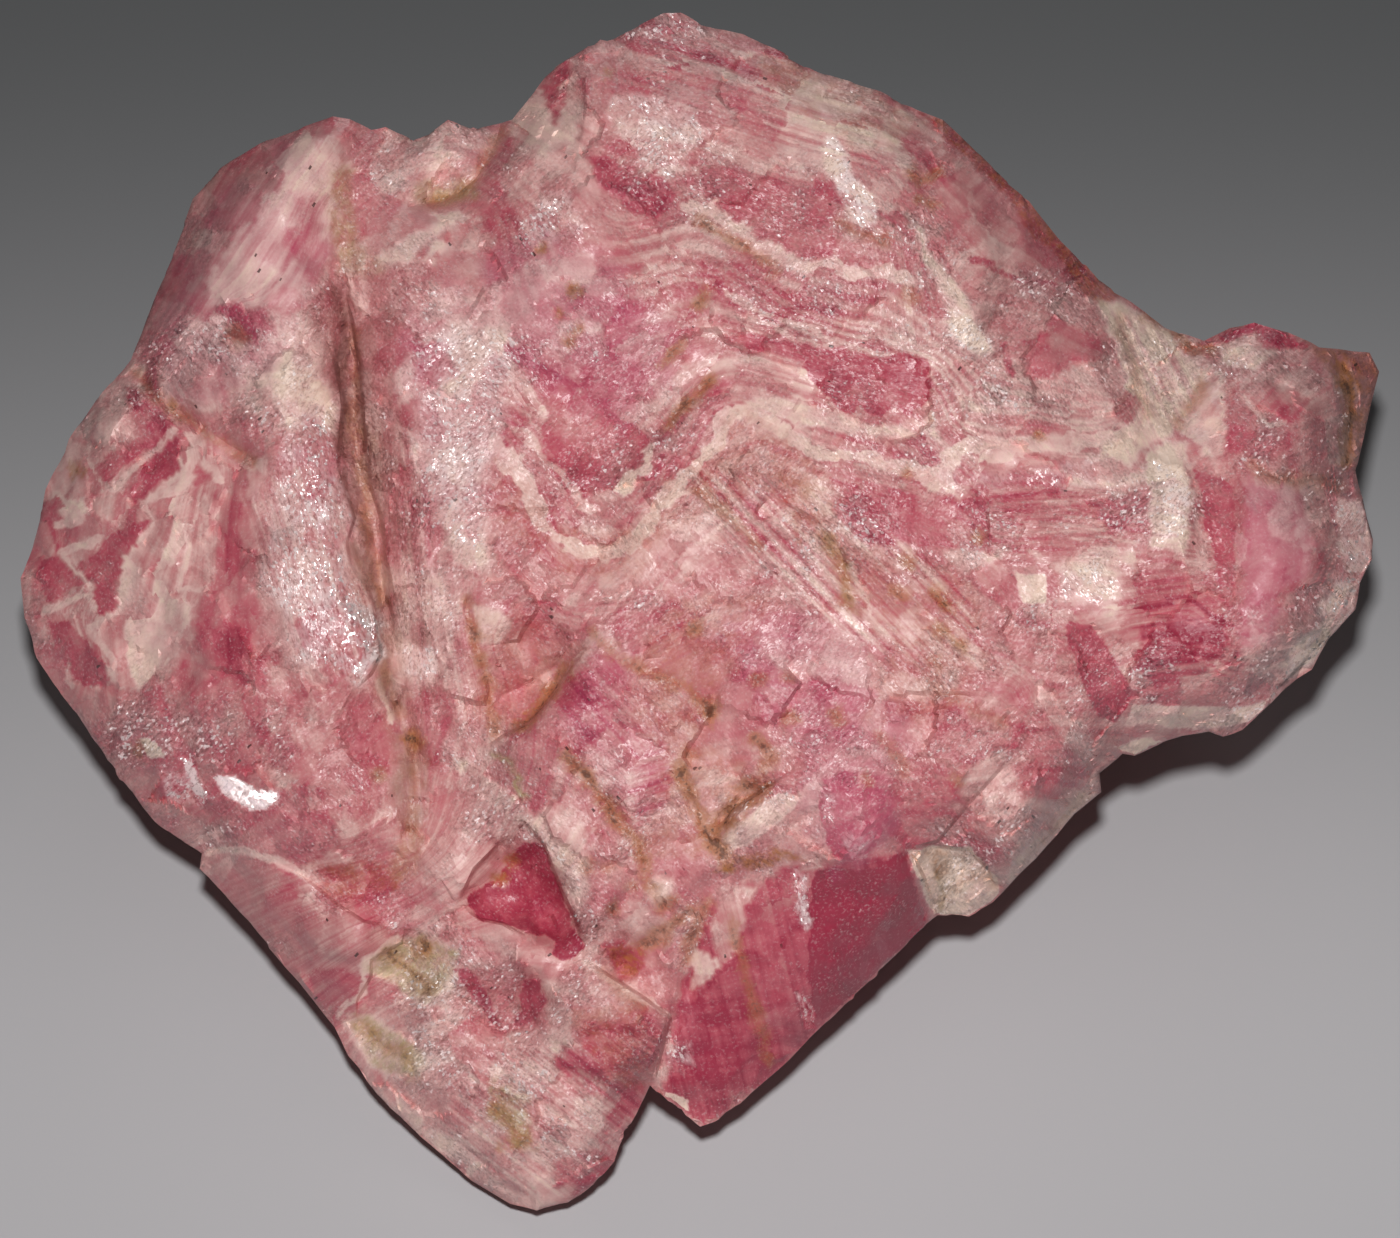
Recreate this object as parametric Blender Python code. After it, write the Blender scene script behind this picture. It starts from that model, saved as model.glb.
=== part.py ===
"""Rough hand specimen of banded rhodochrosite: one natural stone, cleaved face up.

The stone is described from its broken face.  Face coordinates are in millimetres: u runs to the
right, v runs up the face and w stands out of it.  The face leans back, so v climbs and w points
up and forwards.  Two height surfaces over one outline, the face and the underside, meet at the
outline and make the closed solid.
"""

from dataclasses import dataclass
import math

import bpy
import numpy as np
from mathutils.geometry import delaunay_2d_cdt

# ---- driving dimensions -------------------------------------------------------------------
MM = 0.001
FACE_LEAN_DEG = 32.0        # the face leans back this far from lying flat
FACE_HEIGHT = 34.0          # height of the face's centre above the resting plane, mm
FACE_BACK = -9.35           # the face's centre, mm along +Y from the middle of the box
FACE_RIGHT = -0.36          # the face's centre, mm along +X from the middle of the box
FLARE_DISTANCE = 700.0      # the sides flare as lines from a point this far in front, mm
FACE_SPACING = 1.62         # spacing of the points on the face, mm
UNDERSIDE_SPACING = 4.2     # spacing of the points on the hidden walls, mm
BASE_SPACING = 12.0         # spacing of the points on the resting plane, mm
EDGE_SPACING = 2.0          # longest step along the outline, mm
SCARP_HALF_WIDTH = 0.16     # half the width of a ledge's drop, mm
BLOCK_SIZE = 12.0           # size of the blocks that cleaved in one direction, mm
CLEAVAGE_STEP = 1.5         # height of the steps between a block's flat treads, mm
RISER_SHARE = 0.22          # share of a step that its riser takes
CLEAVAGE_TILT = 0.13        # how far a block's treads tilt from the face around them
LUMP_HEIGHT = 0.3           # height of the small lumps on the face, mm
LUMP_SIZE = 3.6             # size of the small lumps on the face, mm
WALL_LUMP_HEIGHT = 2.6      # height of the lumps on the hidden walls, mm
WALL_LUMP_SIZE = 13.0       # size of the lumps on the hidden walls, mm
WALL_FULLNESS = 0.62        # below 1 the walls drop steeply from the outline, then turn in
WALL_SKEW = (0.9, -0.7)     # how far the lumps on the walls shift with each mm of depth
RIM_BLUR = 3.5              # how far the walls smooth over the outline's ups and downs, mm
SEED = 7

# ---- outline of the face: (u, v, w), clockwise from the top of the left lobe -----------------
OUTLINE = {
    "left lobe crest": [
        (-30.6, 41.8, -13), (-29.2, 41.6, -13), (-27.4, 40.7, -14), (-26.2, 41.0, -14),
        (-24.0, 39.9, -16)],
    "knob": [
        (-23.2, 40.0, -17), (-21.0, 41.6, -16), (-18.6, 40.9, -17), (-16.6, 41.3, -17)],
    "crown": [
        (-15.6, 41.6, -16), (-13.8, 43.8, -14), (-11.8, 46.5, -13), (-9.4, 48.0, -12),
        (-7.2, 48.3, -12), (-4.9, 49.6, -13), (-3.0, 50.5, -14), (-1.6, 50.5, -15),
        (0.1, 49.5, -14), (3.6, 48.6, -14), (6.6, 47.3, -13), (10.0, 45.5, -13),
        (15.0, 44.0, -13), (18.0, 42.4, -14), (20.2, 41.5, -15)],
    "right shoulder": [
        (23.0, 38.9, -14), (26.8, 35.4, -14), (30.0, 31.6, -15), (33.2, 28.2, -16),
        (36.0, 26.4, -17), (38.8, 24.4, -17), (42.0, 23.1, -18)],
    "rear corner": [
        (44.2, 24.2, -17), (46.2, 24.7, -16), (49.0, 23.8, -17), (51.6, 22.7, -19),
        (55.8, 22.2, -25), (56.6, 20.6, -25), (55.6, 16.6, -23), (54.6, 12.4, -18)],
    "right end": [
        (55.2, 10.0, -16), (56.0, 6.6, -15), (56.0, 5.0, -14), (55.0, 3.0, -13),
        (54.6, 0.8, -12), (52.4, -1.6, -11), (51.0, -4.2, -10), (47.6, -7.0, -9),
        (45.2, -9.2, -8), (43.6, -9.8, -7), (42.4, -9.4, -7), (38.8, -10.2, -7),
        (36.2, -11.4, -7), (35.2, -11.2, -7)],
    "lower right": [
        (33.2, -12.8, -8), (33.4, -14.4, -8), (31.2, -16.2, -8), (27.8, -20.2, -8),
        (24.4, -23.6, -7), (22.4, -24.8, -7), (19.8, -24.7, -6), (16.4, -28.0, -5),
        (11.8, -32.4, -4), (9.2, -34.8, -4), (7.0, -37.0, -4), (1.6, -41.8, -3),
        (0.0, -42.3, -3), (-1.6, -41.0, -3), (-3.0, -39.8, -2), (-4.2, -38.8, -2)],
    "front tip": [
        (-5.8, -42.0, -2), (-7.2, -45.2, -3), (-8.8, -47.2, -4), (-11.0, -48.7, -5),
        (-13.6, -49.3, -5), (-15.8, -48.7, -6), (-19.0, -46.8, -7), (-22.4, -43.8, -7)],
    "lower left": [
        (-27.0, -39.8, -8), (-28.6, -37.6, -8), (-30.4, -34.0, -8), (-32.4, -31.6, -9),
        (-35.6, -27.8, -10), (-40.2, -22.4, -10), (-41.7, -20.8, -11), (-41.6, -19.6, -11)],
    "left end": [
        (-45.4, -16.8, -12), (-48.4, -13.4, -13), (-51.6, -8.6, -14), (-55.2, -3.2, -15),
        (-56.3, 0.0, -16), (-56.6, 3.4, -16), (-55.6, 6.0, -16), (-54.4, 10.8, -16),
        (-52.6, 15.0, -16), (-49.8, 18.8, -15), (-47.4, 21.6, -15)],
    "left lobe flank": [
        (-46.5, 23.8, -15), (-44.6, 29.0, -16), (-42.2, 35.0, -17), (-40.0, 37.6, -17),
        (-36.6, 39.6, -16), (-33.0, 41.0, -14)],
}

# ---- heights of the face: (u, v, w) ------------------------------------------------------------
HEIGHTS = {
    "left lobe ridge": [
        (-43.2, 25.2, -6.5), (-39.6, 31.0, -4.5), (-36.0, 36.4, -6.0), (-32.4, 40.2, -9.0)],
    "left lobe facets": [
        (-41.5, 24.0, -5.0), (-37.0, 33.0, -4.2), (-33.0, 36.0, -5.0), (-34.0, 30.0, -3.0),
        (-32.0, 26.5, -2.2), (-38.0, 27.5, -2.8), (-43.0, 20.0, -6.0), (-38.0, 22.0, -1.8),
        (-33.0, 22.0, 0.4), (-34.5, 17.5, 1.0)],
    "left face": [
        (-50.0, 16.5, -10.0), (-52.0, 10.0, -11.0), (-47.0, 13.5, -7.0), (-43.0, 12.0, -4.0),
        (-39.0, 13.8, -1.4), (-46.0, 6.0, -5.0), (-50.0, 3.0, -8.5), (-54.0, 3.0, -12.5),
        (-41.0, 5.0, -1.5), (-38.0, 8.0, 0.2), (-50.0, -4.0, -9.0), (-45.0, -3.0, -4.5),
        (-41.0, -3.0, 0.0), (-48.0, -8.0, -8.0), (-44.0, -8.0, -3.6), (-40.0, -9.0, 0.0),
        (-46.0, -12.0, -8.0), (-42.0, -14.0, -4.6), (-37.0, -14.5, -0.6), (-36.0, -5.0, 2.6),
        (-33.0, -10.0, 3.0), (-30.0, -8.0, 3.6), (-34.0, -18.0, 0.8), (-30.0, -17.0, 3.2),
        (-38.5, -17.5, -3.0)],
    "silver flake": [
        (-35.0, 10.0, 1.8), (-32.5, 13.5, 2.0), (-31.5, 9.0, 4.0), (-30.8, 5.0, 4.6),
        (-34.0, 2.0, 4.0), (-29.5, 0.0, 5.6), (-28.6, -3.0, 4.8), (-32.0, -4.0, 4.2)],
    "gully": [
        (-30.0, 36.0, -8.0), (-29.5, 31.0, -6.6), (-29.6, 26.0, -6.2), (-28.9, 21.0, -5.6),
        (-28.8, 15.0, -4.6), (-28.2, 10.0, -3.6), (-27.8, 6.0, -3.0), (-26.6, 2.0, -2.0),
        (-26.0, -2.0, -0.8), (-25.0, -6.0, 0.0), (-24.2, -10.0, 0.0), (-24.0, -17.0, 0.4),
        (-24.6, -20.5, -0.4)],
    "gully east bank": [
        (-26.4, 30.0, -3.4), (-25.0, 25.0, -0.8), (-26.2, 20.0, -1.0), (-25.0, 15.0, 0.6),
        (-24.0, 10.0, 1.4), (-24.0, 4.0, 2.0), (-22.0, -2.0, 3.2), (-21.0, -8.0, 3.0)],
    "west slope": [
        (-25.2, 37.0, -11.0), (-22.0, 33.6, -7.6), (-19.6, 31.0, -4.0), (-20.0, 27.0, -0.6),
        (-20.6, 22.0, 1.4), (-18.4, 17.6, 3.6), (-17.8, 10.5, 4.4), (-21.0, 7.0, 3.2),
        (-17.5, 4.5, 4.6), (-15.0, 0.0, 4.6), (-17.6, -3.5, 4.2), (-18.4, -10.0, 3.4),
        (-19.0, -16.0, 2.4)],
    "knob": [
        (-21.2, 39.8, -13.4), (-19.0, 38.0, -11.6), (-23.0, 38.2, -13.0), (-22.2, 36.0, -12.4)],
    "crown": [
        (-9.7, 46.0, -9.4), (-9.6, 42.0, -5.6), (-10.0, 38.0, -2.6), (-13.0, 43.0, -11.4),
        (-14.5, 38.5, -7.6), (-16.6, 36.4, -7.4), (-14.8, 33.4, -3.0), (-5.0, 46.0, -8.6),
        (-4.0, 42.0, -4.8), (-4.0, 38.4, -3.0), (-5.0, 35.0, -1.6), (0.0, 46.0, -8.2),
        (0.4, 40.0, -4.0), (2.0, 36.0, -2.0), (6.0, 44.0, -7.2), (6.0, 38.4, -3.2),
        (8.0, 33.0, -0.6), (12.0, 42.0, -7.4), (12.0, 36.0, -1.6), (14.0, 33.6, 0.6),
        (16.0, 39.0, -5.4), (17.0, 35.6, -2.6)],
    "right shoulder": [
        (20.0, 38.4, -8.0), (23.0, 35.4, -7.4), (20.0, 33.0, -2.6), (19.0, 29.0, 0.6),
        (26.0, 32.0, -7.6), (24.0, 27.4, -1.6), (28.4, 28.6, -7.8), (28.0, 25.0, -3.6),
        (32.4, 25.6, -9.0), (22.0, 24.0, 2.2), (20.0, 21.0, 3.2), (26.0, 21.0, 0.4),
        (30.4, 20.6, -1.8), (35.0, 20.4, -6.2), (38.4, 21.4, -11.0), (36.0, 16.0, -2.8),
        (40.2, 18.6, -9.0), (38.0, 13.0, -0.6)],
    "middle north": [
        (-12.0, 33.0, -0.4), (-12.4, 28.0, 2.2), (-6.0, 30.0, 1.6), (-6.0, 25.0, 3.2),
        (0.0, 30.4, 1.4), (-15.6, 23.6, 3.0), (-10.4, 22.0, 3.8), (-4.0, 20.6, 4.6),
        (2.6, 25.0, 3.0), (6.0, 28.0, 1.6), (11.0, 26.4, 1.4), (5.0, 21.4, 4.2),
        (12.0, 20.0, 3.2), (17.0, 18.6, 3.2), (-12.0, 16.6, 4.2), (-7.0, 14.4, 4.0),
        (1.4, 17.0, 6.6)],
    "middle": [
        (-13.4, 11.0, 5.0), (-10.0, 8.0, 5.6), (-12.0, 4.6, 5.4), (-7.0, 4.0, 6.6),
        (-4.0, 10.6, 7.0), (0.6, 11.0, 7.4), (-3.0, 5.0, 8.0), (3.0, 4.6, 8.2), (7.0, 12.0, 6.2),
        (12.0, 12.4, 5.0), (14.0, 6.0, 6.2), (9.4, 3.4, 8.0), (18.0, 13.0, 4.4), (19.0, 8.0, 5.4),
        (22.4, 4.0, 6.6), (25.0, 12.4, 3.8), (28.0, 8.0, 5.6), (31.0, 13.4, 2.6), (33.0, 9.6, 3.8),
        (18.0, -2.0, 8.8), (14.0, -6.0, 10.0), (22.0, -5.0, 9.0), (26.6, -3.0, 8.4),
        (0.0, -2.4, 8.4), (6.0, -3.0, 9.6), (8.4, -8.0, 10.6), (2.4, -9.0, 9.6), (15.0, -11.0, 10.2),
        (22.0, -11.0, 9.4), (27.6, -7.6, 8.4)],
    "stained blocks": [
        (-4.6, -5.0, 7.0), (-9.4, -3.6, 8.4), (-12.0, -7.4, 7.4), (-15.6, -10.8, 6.2),
        (-12.4, -12.6, 7.0), (-8.0, -10.0, 8.4), (-4.6, -10.0, 8.2), (-5.4, -14.4, 8.4),
        (-10.0, -15.6, 7.4), (-6.4, -18.4, 7.8), (-2.4, -15.0, 8.4), (1.6, -12.4, 9.0),
        (-1.0, -18.4, 7.2), (4.0, -17.4, 9.2), (8.0, -14.6, 10.4), (8.0, -18.0, 9.0),
        (-3.0, -22.0, 6.8)],
    "dark hollow": [
        (-15.6, -7.4, 2.8), (-13.6, -6.4, 2.8), (-12.0, -4.8, 3.6)],
    "rose crystal": [
        (10.6, -14.4, 11.0), (14.6, -14.2, 10.8), (12.6, -18.6, 9.8)],
    "lower terraces": [
        (18.6, -15.4, 8.6), (21.6, -15.6, 7.8), (27.0, -12.6, 7.2), (30.4, -10.4, 6.0),
        (28.4, -16.6, 3.4), (24.4, -18.6, 4.6), (26.6, -19.6, 1.6), (30.6, -14.0, 2.6)],
    "right ledges": [
        (31.0, 3.0, 6.6), (34.0, 3.0, 6.2), (29.0, -3.0, 7.6), (33.4, -3.4, 6.2),
        (35.0, -7.0, 3.0), (33.8, -10.4, -0.6), (36.0, 8.0, 4.8), (38.6, 6.0, 6.0),
        (38.6, 10.4, 4.6), (41.2, 0.0, 5.6), (38.0, -2.0, 6.0), (42.0, -4.4, 4.0),
        (38.2, -5.4, 4.4), (43.6, -7.2, -1.6), (39.2, -8.2, 0.4), (36.2, -9.6, -2.0)],
    "right panel": [
        (42.8, 6.0, 2.8), (42.6, 11.6, -0.4), (45.6, 8.6, 3.4), (45.4, 1.0, 5.4),
        (49.0, 7.6, 3.0), (52.0, 4.4, 0.4), (49.4, 1.6, 4.0), (47.6, -3.4, 2.4),
        (51.4, -0.6, -1.6), (53.6, 7.6, -5.0), (50.0, 12.0, -3.0), (46.4, 14.0, -1.6),
        (44.6, 18.0, -5.4), (48.4, 19.0, -7.4), (46.4, 22.0, -12.0), (52.0, 15.6, -9.0),
        (53.4, 19.4, -16.0), (42.6, 20.6, -11.0)],
    "red face": [
        (0.4, -24.0, 6.6), (6.0, -23.0, 6.6), (13.0, -22.8, 5.6), (16.4, -21.0, 6.0),
        (5.0, -28.4, 3.8), (10.4, -26.4, 3.6), (15.2, -25.0, 2.6), (2.6, -34.0, 1.2),
        (-1.0, -31.0, 3.6), (0.4, -37.6, 0.2), (6.6, -33.0, 0.8), (11.6, -29.8, 0.4)],
    "white pocket": [
        (21.0, -22.2, -2.4), (22.8, -21.2, -1.6), (20.4, -20.6, -0.4)],
    "rose window": [
        (-16.6, -21.4, -1.4), (-13.8, -22.6, -0.8), (-12.0, -25.6, 0.0), (-20.6, -20.4, 2.4),
        (-17.0, -16.6, 3.8), (-12.6, -17.0, 6.2), (-9.6, -22.6, 6.8), (-7.6, -25.0, 6.4),
        (-9.0, -27.0, 5.0), (-14.0, -27.6, 3.2), (-17.4, -26.4, 1.2), (-18.4, -30.6, -1.6),
        (-14.2, -32.0, -1.4), (-16.2, -29.6, 1.2), (-12.0, -32.6, 2.4), (-21.0, -30.0, -0.4),
        (-22.4, -23.6, 0.0), (-6.4, -28.6, 3.2)],
    "lower left slab": [
        (-39.6, -20.2, -6.6), (-36.0, -21.4, -3.0), (-35.6, -25.4, -6.4), (-31.0, -24.4, -0.8),
        (-31.6, -29.0, -5.0), (-27.6, -26.4, 0.2), (-29.2, -30.4, -4.0), (-29.4, -21.8, -1.4),
        (-26.4, -22.4, -1.2)],
    "green pockets": [
        (-24.0, -28.6, -4.2), (-26.0, -29.6, -4.6), (-21.2, -27.4, -1.2), (-27.4, -33.2, -6.0),
        (-25.0, -35.4, -4.8), (-23.0, -33.0, -1.8)],
    "front tip": [
        (-20.0, -36.0, -0.8), (-22.0, -40.0, -3.2), (-18.0, -42.0, -0.6), (-15.8, -37.4, 0.2),
        (-14.0, -45.0, -0.2), (-17.4, -46.2, -2.6), (-12.0, -47.4, -2.0), (-9.8, -44.0, 0.8),
        (-9.0, -40.0, 2.4), (-12.2, -38.0, 1.8), (-6.0, -37.4, 3.8), (-4.6, -33.4, 4.8),
        (-8.4, -33.0, 4.4), (-9.4, -29.8, 4.2), (-25.0, -38.4, -5.0)],
}

# ---- the flat face underneath that the stone rests on: (u, v) ----------------------------------
RESTING_FACE = [
    (-15.0, -43.0), (-9.5, -41.0), (-5.0, -35.0), (1.0, -34.0), (10.0, -27.0), (22.0, -16.0),
    (30.0, -6.0), (33.0, 6.0), (27.0, 15.0), (10.0, 21.0), (-10.0, 22.0), (-26.0, 18.0),
    (-36.0, 12.0), (-42.0, 2.0), (-42.0, -8.0), (-34.0, -22.0), (-23.0, -37.0)]


@dataclass(frozen=True)
class Ledge:
    """A sharp step in the face; the raised side is on the left when walking along the path."""

    name: str
    rise: float
    run_out: float
    path: list


@dataclass(frozen=True)
class Crack:
    """A V-shaped groove in the face."""

    name: str
    depth: float
    half_width: float
    path: list


@dataclass(frozen=True)
class Bump:
    """A round lump, or a pit where its height is negative."""

    name: str
    height: float
    radius: float
    centre: tuple


LEDGES = [
    Ledge("silver flake over the gully", 2.4, 5.0, [
        (-28.8, -5.8), (-27.4, -4.6), (-26.6, -3.0), (-26.6, -1.0), (-27.2, 1.4), (-28.2, 3.2),
        (-29.2, 4.6), (-29.4, 6.4), (-28.8, 8.4), (-29.4, 10.6), (-30.2, 13.0), (-30.0, 15.4),
        (-29.6, 17.6), (-30.2, 20.2), (-31.0, 23.4)]),
    Ledge("gully east bank", 1.6, 4.0, [
        (-29.0, 25.0), (-28.4, 21.0), (-28.0, 16.0), (-27.4, 11.0), (-26.6, 8.4), (-26.2, 5.0),
        (-25.8, 1.0), (-25.4, -3.0)]),
    Ledge("crown corner", 1.0, 4.0, [(-9.8, 47.0), (-9.6, 43.0), (-10.0, 38.4)]),
    Ledge("cream flake", 0.9, 3.5, [
        (-7.6, 43.0), (-6.6, 40.6), (-5.4, 38.6), (-3.8, 37.2), (-1.4, 37.6)]),
    Ledge("block over the dark hollow", 3.0, 4.0, [
        (-8.6, -2.0), (-9.8, -3.0), (-11.2, -4.6), (-12.6, -6.8), (-14.2, -8.6), (-16.2, -9.6),
        (-17.6, -10.6)]),
    Ledge("striated block edge", 0.9, 4.0, [
        (-3.6, -11.4), (-5.0, -8.4), (-7.2, -5.4), (-8.8, -3.4)]),
    Ledge("hollow north bank", 1.2, 3.5, [
        (-17.8, -8.0), (-16.4, -6.2), (-14.2, -5.2), (-12.6, -4.2), (-11.0, -2.6)]),
    Ledge("long fracture", 1.7, 5.0, [
        (3.0, 21.6), (0.8, 19.8), (-1.0, 18.0), (-2.6, 16.2), (-4.2, 14.4), (-6.4, 12.2),
        (-9.0, 9.6)]),
    Ledge("dark facet upper edge", 1.0, 4.0, [
        (-16.6, 22.8), (-13.0, 20.8), (-9.2, 18.8), (-5.4, 16.2)]),
    Ledge("dark facet lower edge", 0.7, 3.0, [(-9.2, 10.4), (-11.2, 12.6), (-13.8, 14.6)]),
    Ledge("pale beam", 2.2, 3.0, [
        (7.6, -12.8), (5.2, -14.2), (3.0, -15.8), (0.8, -18.2)]),
    Ledge("brown slot", 1.9, 3.0, [
        (-2.0, -23.0), (0.8, -21.4), (4.0, -20.5), (9.4, -20.0)]),
    Ledge("rose crystal", 1.4, 4.0, [
        (8.6, -17.6), (10.8, -19.8), (12.4, -20.9), (14.0, -19.0), (16.0, -16.4), (16.6, -13.8)]),
    Ledge("slab upper edge", 1.5, 4.0, [
        (-24.6, -25.8), (-28.0, -25.2), (-30.2, -23.8), (-32.6, -21.8), (-36.0, -19.8)]),
    Ledge("slab end", 1.9, 4.0, [
        (-30.2, -33.6), (-28.6, -31.8), (-27.4, -29.8), (-27.4, -28.4), (-24.8, -26.9)]),
    Ledge("front tip over the notch", 2.2, 4.5, [
        (-3.8, -38.2), (-3.2, -36.0), (-2.5, -33.2), (-4.6, -31.6), (-7.4, -29.8),
        (-10.0, -28.2)]),
    Ledge("window north east wall", 3.0, 4.0, [
        (-14.6, -17.0), (-13.0, -18.8), (-11.8, -22.0), (-10.6, -24.6), (-9.6, -27.4)]),
    Ledge("window north west wall", 1.6, 3.5, [(-20.4, -24.2), (-18.8, -20.8), (-15.6, -17.6)]),
    Ledge("window lower lip", 1.5, 3.0, [
        (-14.4, -26.6), (-16.4, -25.4), (-18.4, -25.0), (-20.6, -23.2)]),
    Ledge("fibre ledge", 1.0, 4.0, [
        (13.6, 0.0), (12.8, 3.4), (11.6, 6.2), (9.4, 8.4), (5.6, 10.6)]),
    Ledge("dark rhomb", 0.9, 3.5, [(33.8, -9.0), (32.4, -6.4), (31.2, -3.4), (30.4, 0.2)]),
    Ledge("sparkling block", 1.2, 4.0, [(29.6, 1.0), (30.4, 0.2), (32.6, 0.1), (34.8, -2.2)]),
    Ledge("right panel edge", 1.4, 5.0, [(44.3, 12.6), (44.7, 8.0), (44.9, 3.0), (44.9, -2.0)]),
    Ledge("white column", 1.6, 4.0, [(40.4, 4.2), (41.2, 8.0), (40.8, 11.0), (40.3, 14.6)]),
    Ledge("east step", 0.9, 4.0, [(23.9, 11.0), (24.1, 5.6), (26.4, 4.2)]),
    Ledge("lower terrace", 1.3, 4.0, [
        (17.0, -19.3), (19.8, -18.5), (22.2, -15.6), (25.8, -11.6)]),
    Ledge("pocket bar", 2.2, 3.0, [(19.4, -23.8), (18.8, -21.8), (17.5, -19.2)]),
    Ledge("pocket roof", 2.0, 3.0, [(19.2, -18.9), (22.4, -19.2), (24.0, -20.8), (24.8, -22.4)]),
    Ledge("lobe lower step", 0.8, 4.0, [
        (-39.0, 24.6), (-35.4, 25.2), (-33.0, 23.6), (-31.6, 21.6)]),
    Ledge("south step", 1.0, 4.0, [
        (-23.6, -32.4), (-20.4, -31.2), (-18.2, -32.4), (-16.4, -34.6)]),
]

CRACKS = [
    Crack("knob seam", 1.6, 0.9, [
        (-16.4, 41.0), (-17.6, 38.6), (-18.6, 36.8), (-20.2, 35.5), (-22.2, 34.8), (-24.2, 35.2)]),
    Crack("brown groove", 1.1, 1.1, [
        (-47.0, 20.8), (-45.4, 18.6), (-43.4, 17.2), (-41.4, 16.0), (-39.4, 14.6), (-37.4, 13.4)]),
    Crack("west stained crack", 1.0, 0.8, [
        (-11.2, -11.6), (-8.6, -14.2), (-6.4, -16.8), (-4.8, -20.0)]),
    Crack("middle stained crack", 1.0, 0.8, [
        (-2.4, -12.2), (-0.6, -15.6), (0.4, -17.8), (1.6, -20.2)]),
    Crack("south stained crack", 1.1, 0.9, [
        (-4.8, -20.4), (-6.6, -23.6), (-9.0, -26.6), (-10.6, -28.4)]),
    Crack("notch crack", 1.5, 1.0, [
        (-3.4, -37.6), (-2.2, -34.6), (-1.0, -31.0), (-0.8, -28.0), (0.2, -25.2)]),
    Crack("gully floor", 1.1, 1.0, [
        (-26.0, -4.6), (-24.8, -8.0), (-24.0, -10.6), (-23.4, -13.4), (-24.0, -17.0),
        (-24.8, -20.0)]),
    Crack("gully head", 1.2, 1.0, [
        (-29.8, 34.0), (-29.6, 29.0), (-29.4, 25.0), (-29.0, 21.0), (-28.9, 16.0), (-28.4, 12.0),
        (-27.4, 10.4), (-27.2, 7.0), (-26.6, 3.0), (-26.0, -1.0)]),
    Crack("crest crack", 0.6, 0.7, [(17.4, 37.4), (18.4, 36.4), (20.2, 37.6)]),
    Crack("east crack", 0.9, 0.7, [(16.6, 5.2), (18.8, 3.4), (20.4, 1.6), (21.4, 0.0)]),
    Crack("east slit", 0.8, 0.7, [(18.8, 0.2), (20.4, -1.2), (22.2, -2.8)]),
    Crack("beam slot", 1.3, 0.7, [(5.6, -13.8), (3.0, -15.5), (0.8, -17.8)]),
    Crack("band slit", 0.7, 0.7, [(-0.2, 33.4), (1.8, 31.8), (3.6, 30.8), (6.2, 29.6)]),
    Crack("west seam", 0.8, 0.7, [(-19.6, 2.0), (-19.0, -1.0), (-17.8, -4.0), (-17.2, -7.6)]),
    Crack("east seam", 0.8, 0.8, [(35.2, 25.0), (36.4, 21.0), (37.2, 17.0)]),
    Crack("red face seam", 0.6, 0.7, [(2.2, -24.4), (3.4, -28.6), (4.6, -32.4), (5.8, -36.8)]),
    Crack("rear corner gap", 1.6, 0.9, [(53.2, 21.4), (54.0, 18.6), (54.1, 15.6), (53.8, 12.6)]),
]

BUMPS = [
    Bump("grey lump in the gully", 1.6, 1.5, (-28.0, 7.6)),
    Bump("knob hollow", -1.6, 2.2, (-22.0, 35.8)),
    Bump("pink nodule", 2.0, 2.0, (-13.8, -27.6)),
    Bump("green nodule", 1.2, 1.2, (-23.8, -36.8)),
    Bump("cream bead", 1.0, 1.2, (-3.2, -22.6)),
    Bump("brown pit", -1.8, 1.6, (-6.2, -28.6)),
    Bump("square crystal", 0.9, 1.6, (27.8, 2.5)),
    Bump("green hole", -1.4, 1.3, (-23.0, -27.2)),
    Bump("grey oval", 0.7, 1.3, (25.8, -4.6)),
    Bump("lower rim lump", 0.9, 1.6, (36.4, -10.2)),
    Bump("frond", 1.2, 1.5, (-12.2, -31.4)),
]


def smooth_step(value):
    """Ease from 0 to 1 as value goes from 0 to 1."""
    value = np.clip(value, 0.0, 1.0)
    return value * value * (3.0 - 2.0 * value)


def lattice_values(cells, salt):
    """One repeatable value between -1 and 1 for each whole-number cell."""
    mixed = np.sin(cells[:, 0] * 127.1 + cells[:, 1] * 311.7 + (salt + SEED) * 74.7) * 43758.5453
    return 2.0 * (mixed - np.floor(mixed)) - 1.0


def value_noise(points, size, salt):
    """Smooth random lumps of the given size over (u, v)."""
    scaled = points / size
    corner = np.floor(scaled)
    blend = smooth_step(scaled - corner)
    total = np.zeros(len(points))
    for step_u in (0, 1):
        for step_v in (0, 1):
            weight_u = blend[:, 0] if step_u else 1.0 - blend[:, 0]
            weight_v = blend[:, 1] if step_v else 1.0 - blend[:, 1]
            values = lattice_values(corner + (step_u, step_v), salt)
            total += weight_u * weight_v * values
    return total


def nearest_on_path(points, path):
    """Distance to a path, side of it (+1 left, -1 right) and length to its nearer end."""
    path = np.asarray(path, dtype=float)
    lengths = np.linalg.norm(np.diff(path, axis=0), axis=1)
    starts = np.concatenate([[0.0], np.cumsum(lengths)])
    best = np.full(len(points), np.inf)
    side = np.ones(len(points))
    along = np.zeros(len(points))
    for index, length in enumerate(lengths):
        direction = (path[index + 1] - path[index]) / length
        offset = points - path[index]
        reach = np.clip(offset @ direction, 0.0, length)
        gap = np.linalg.norm(offset - reach[:, None] * direction, axis=1)
        closer = gap < best
        turned = direction[0] * offset[:, 1] - direction[1] * offset[:, 0]
        best = np.where(closer, gap, best)
        side = np.where(closer, np.sign(turned) + (turned == 0.0), side)
        along = np.where(closer, starts[index] + reach, along)
    return best, side, np.minimum(along, starts[-1] - along)


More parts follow.
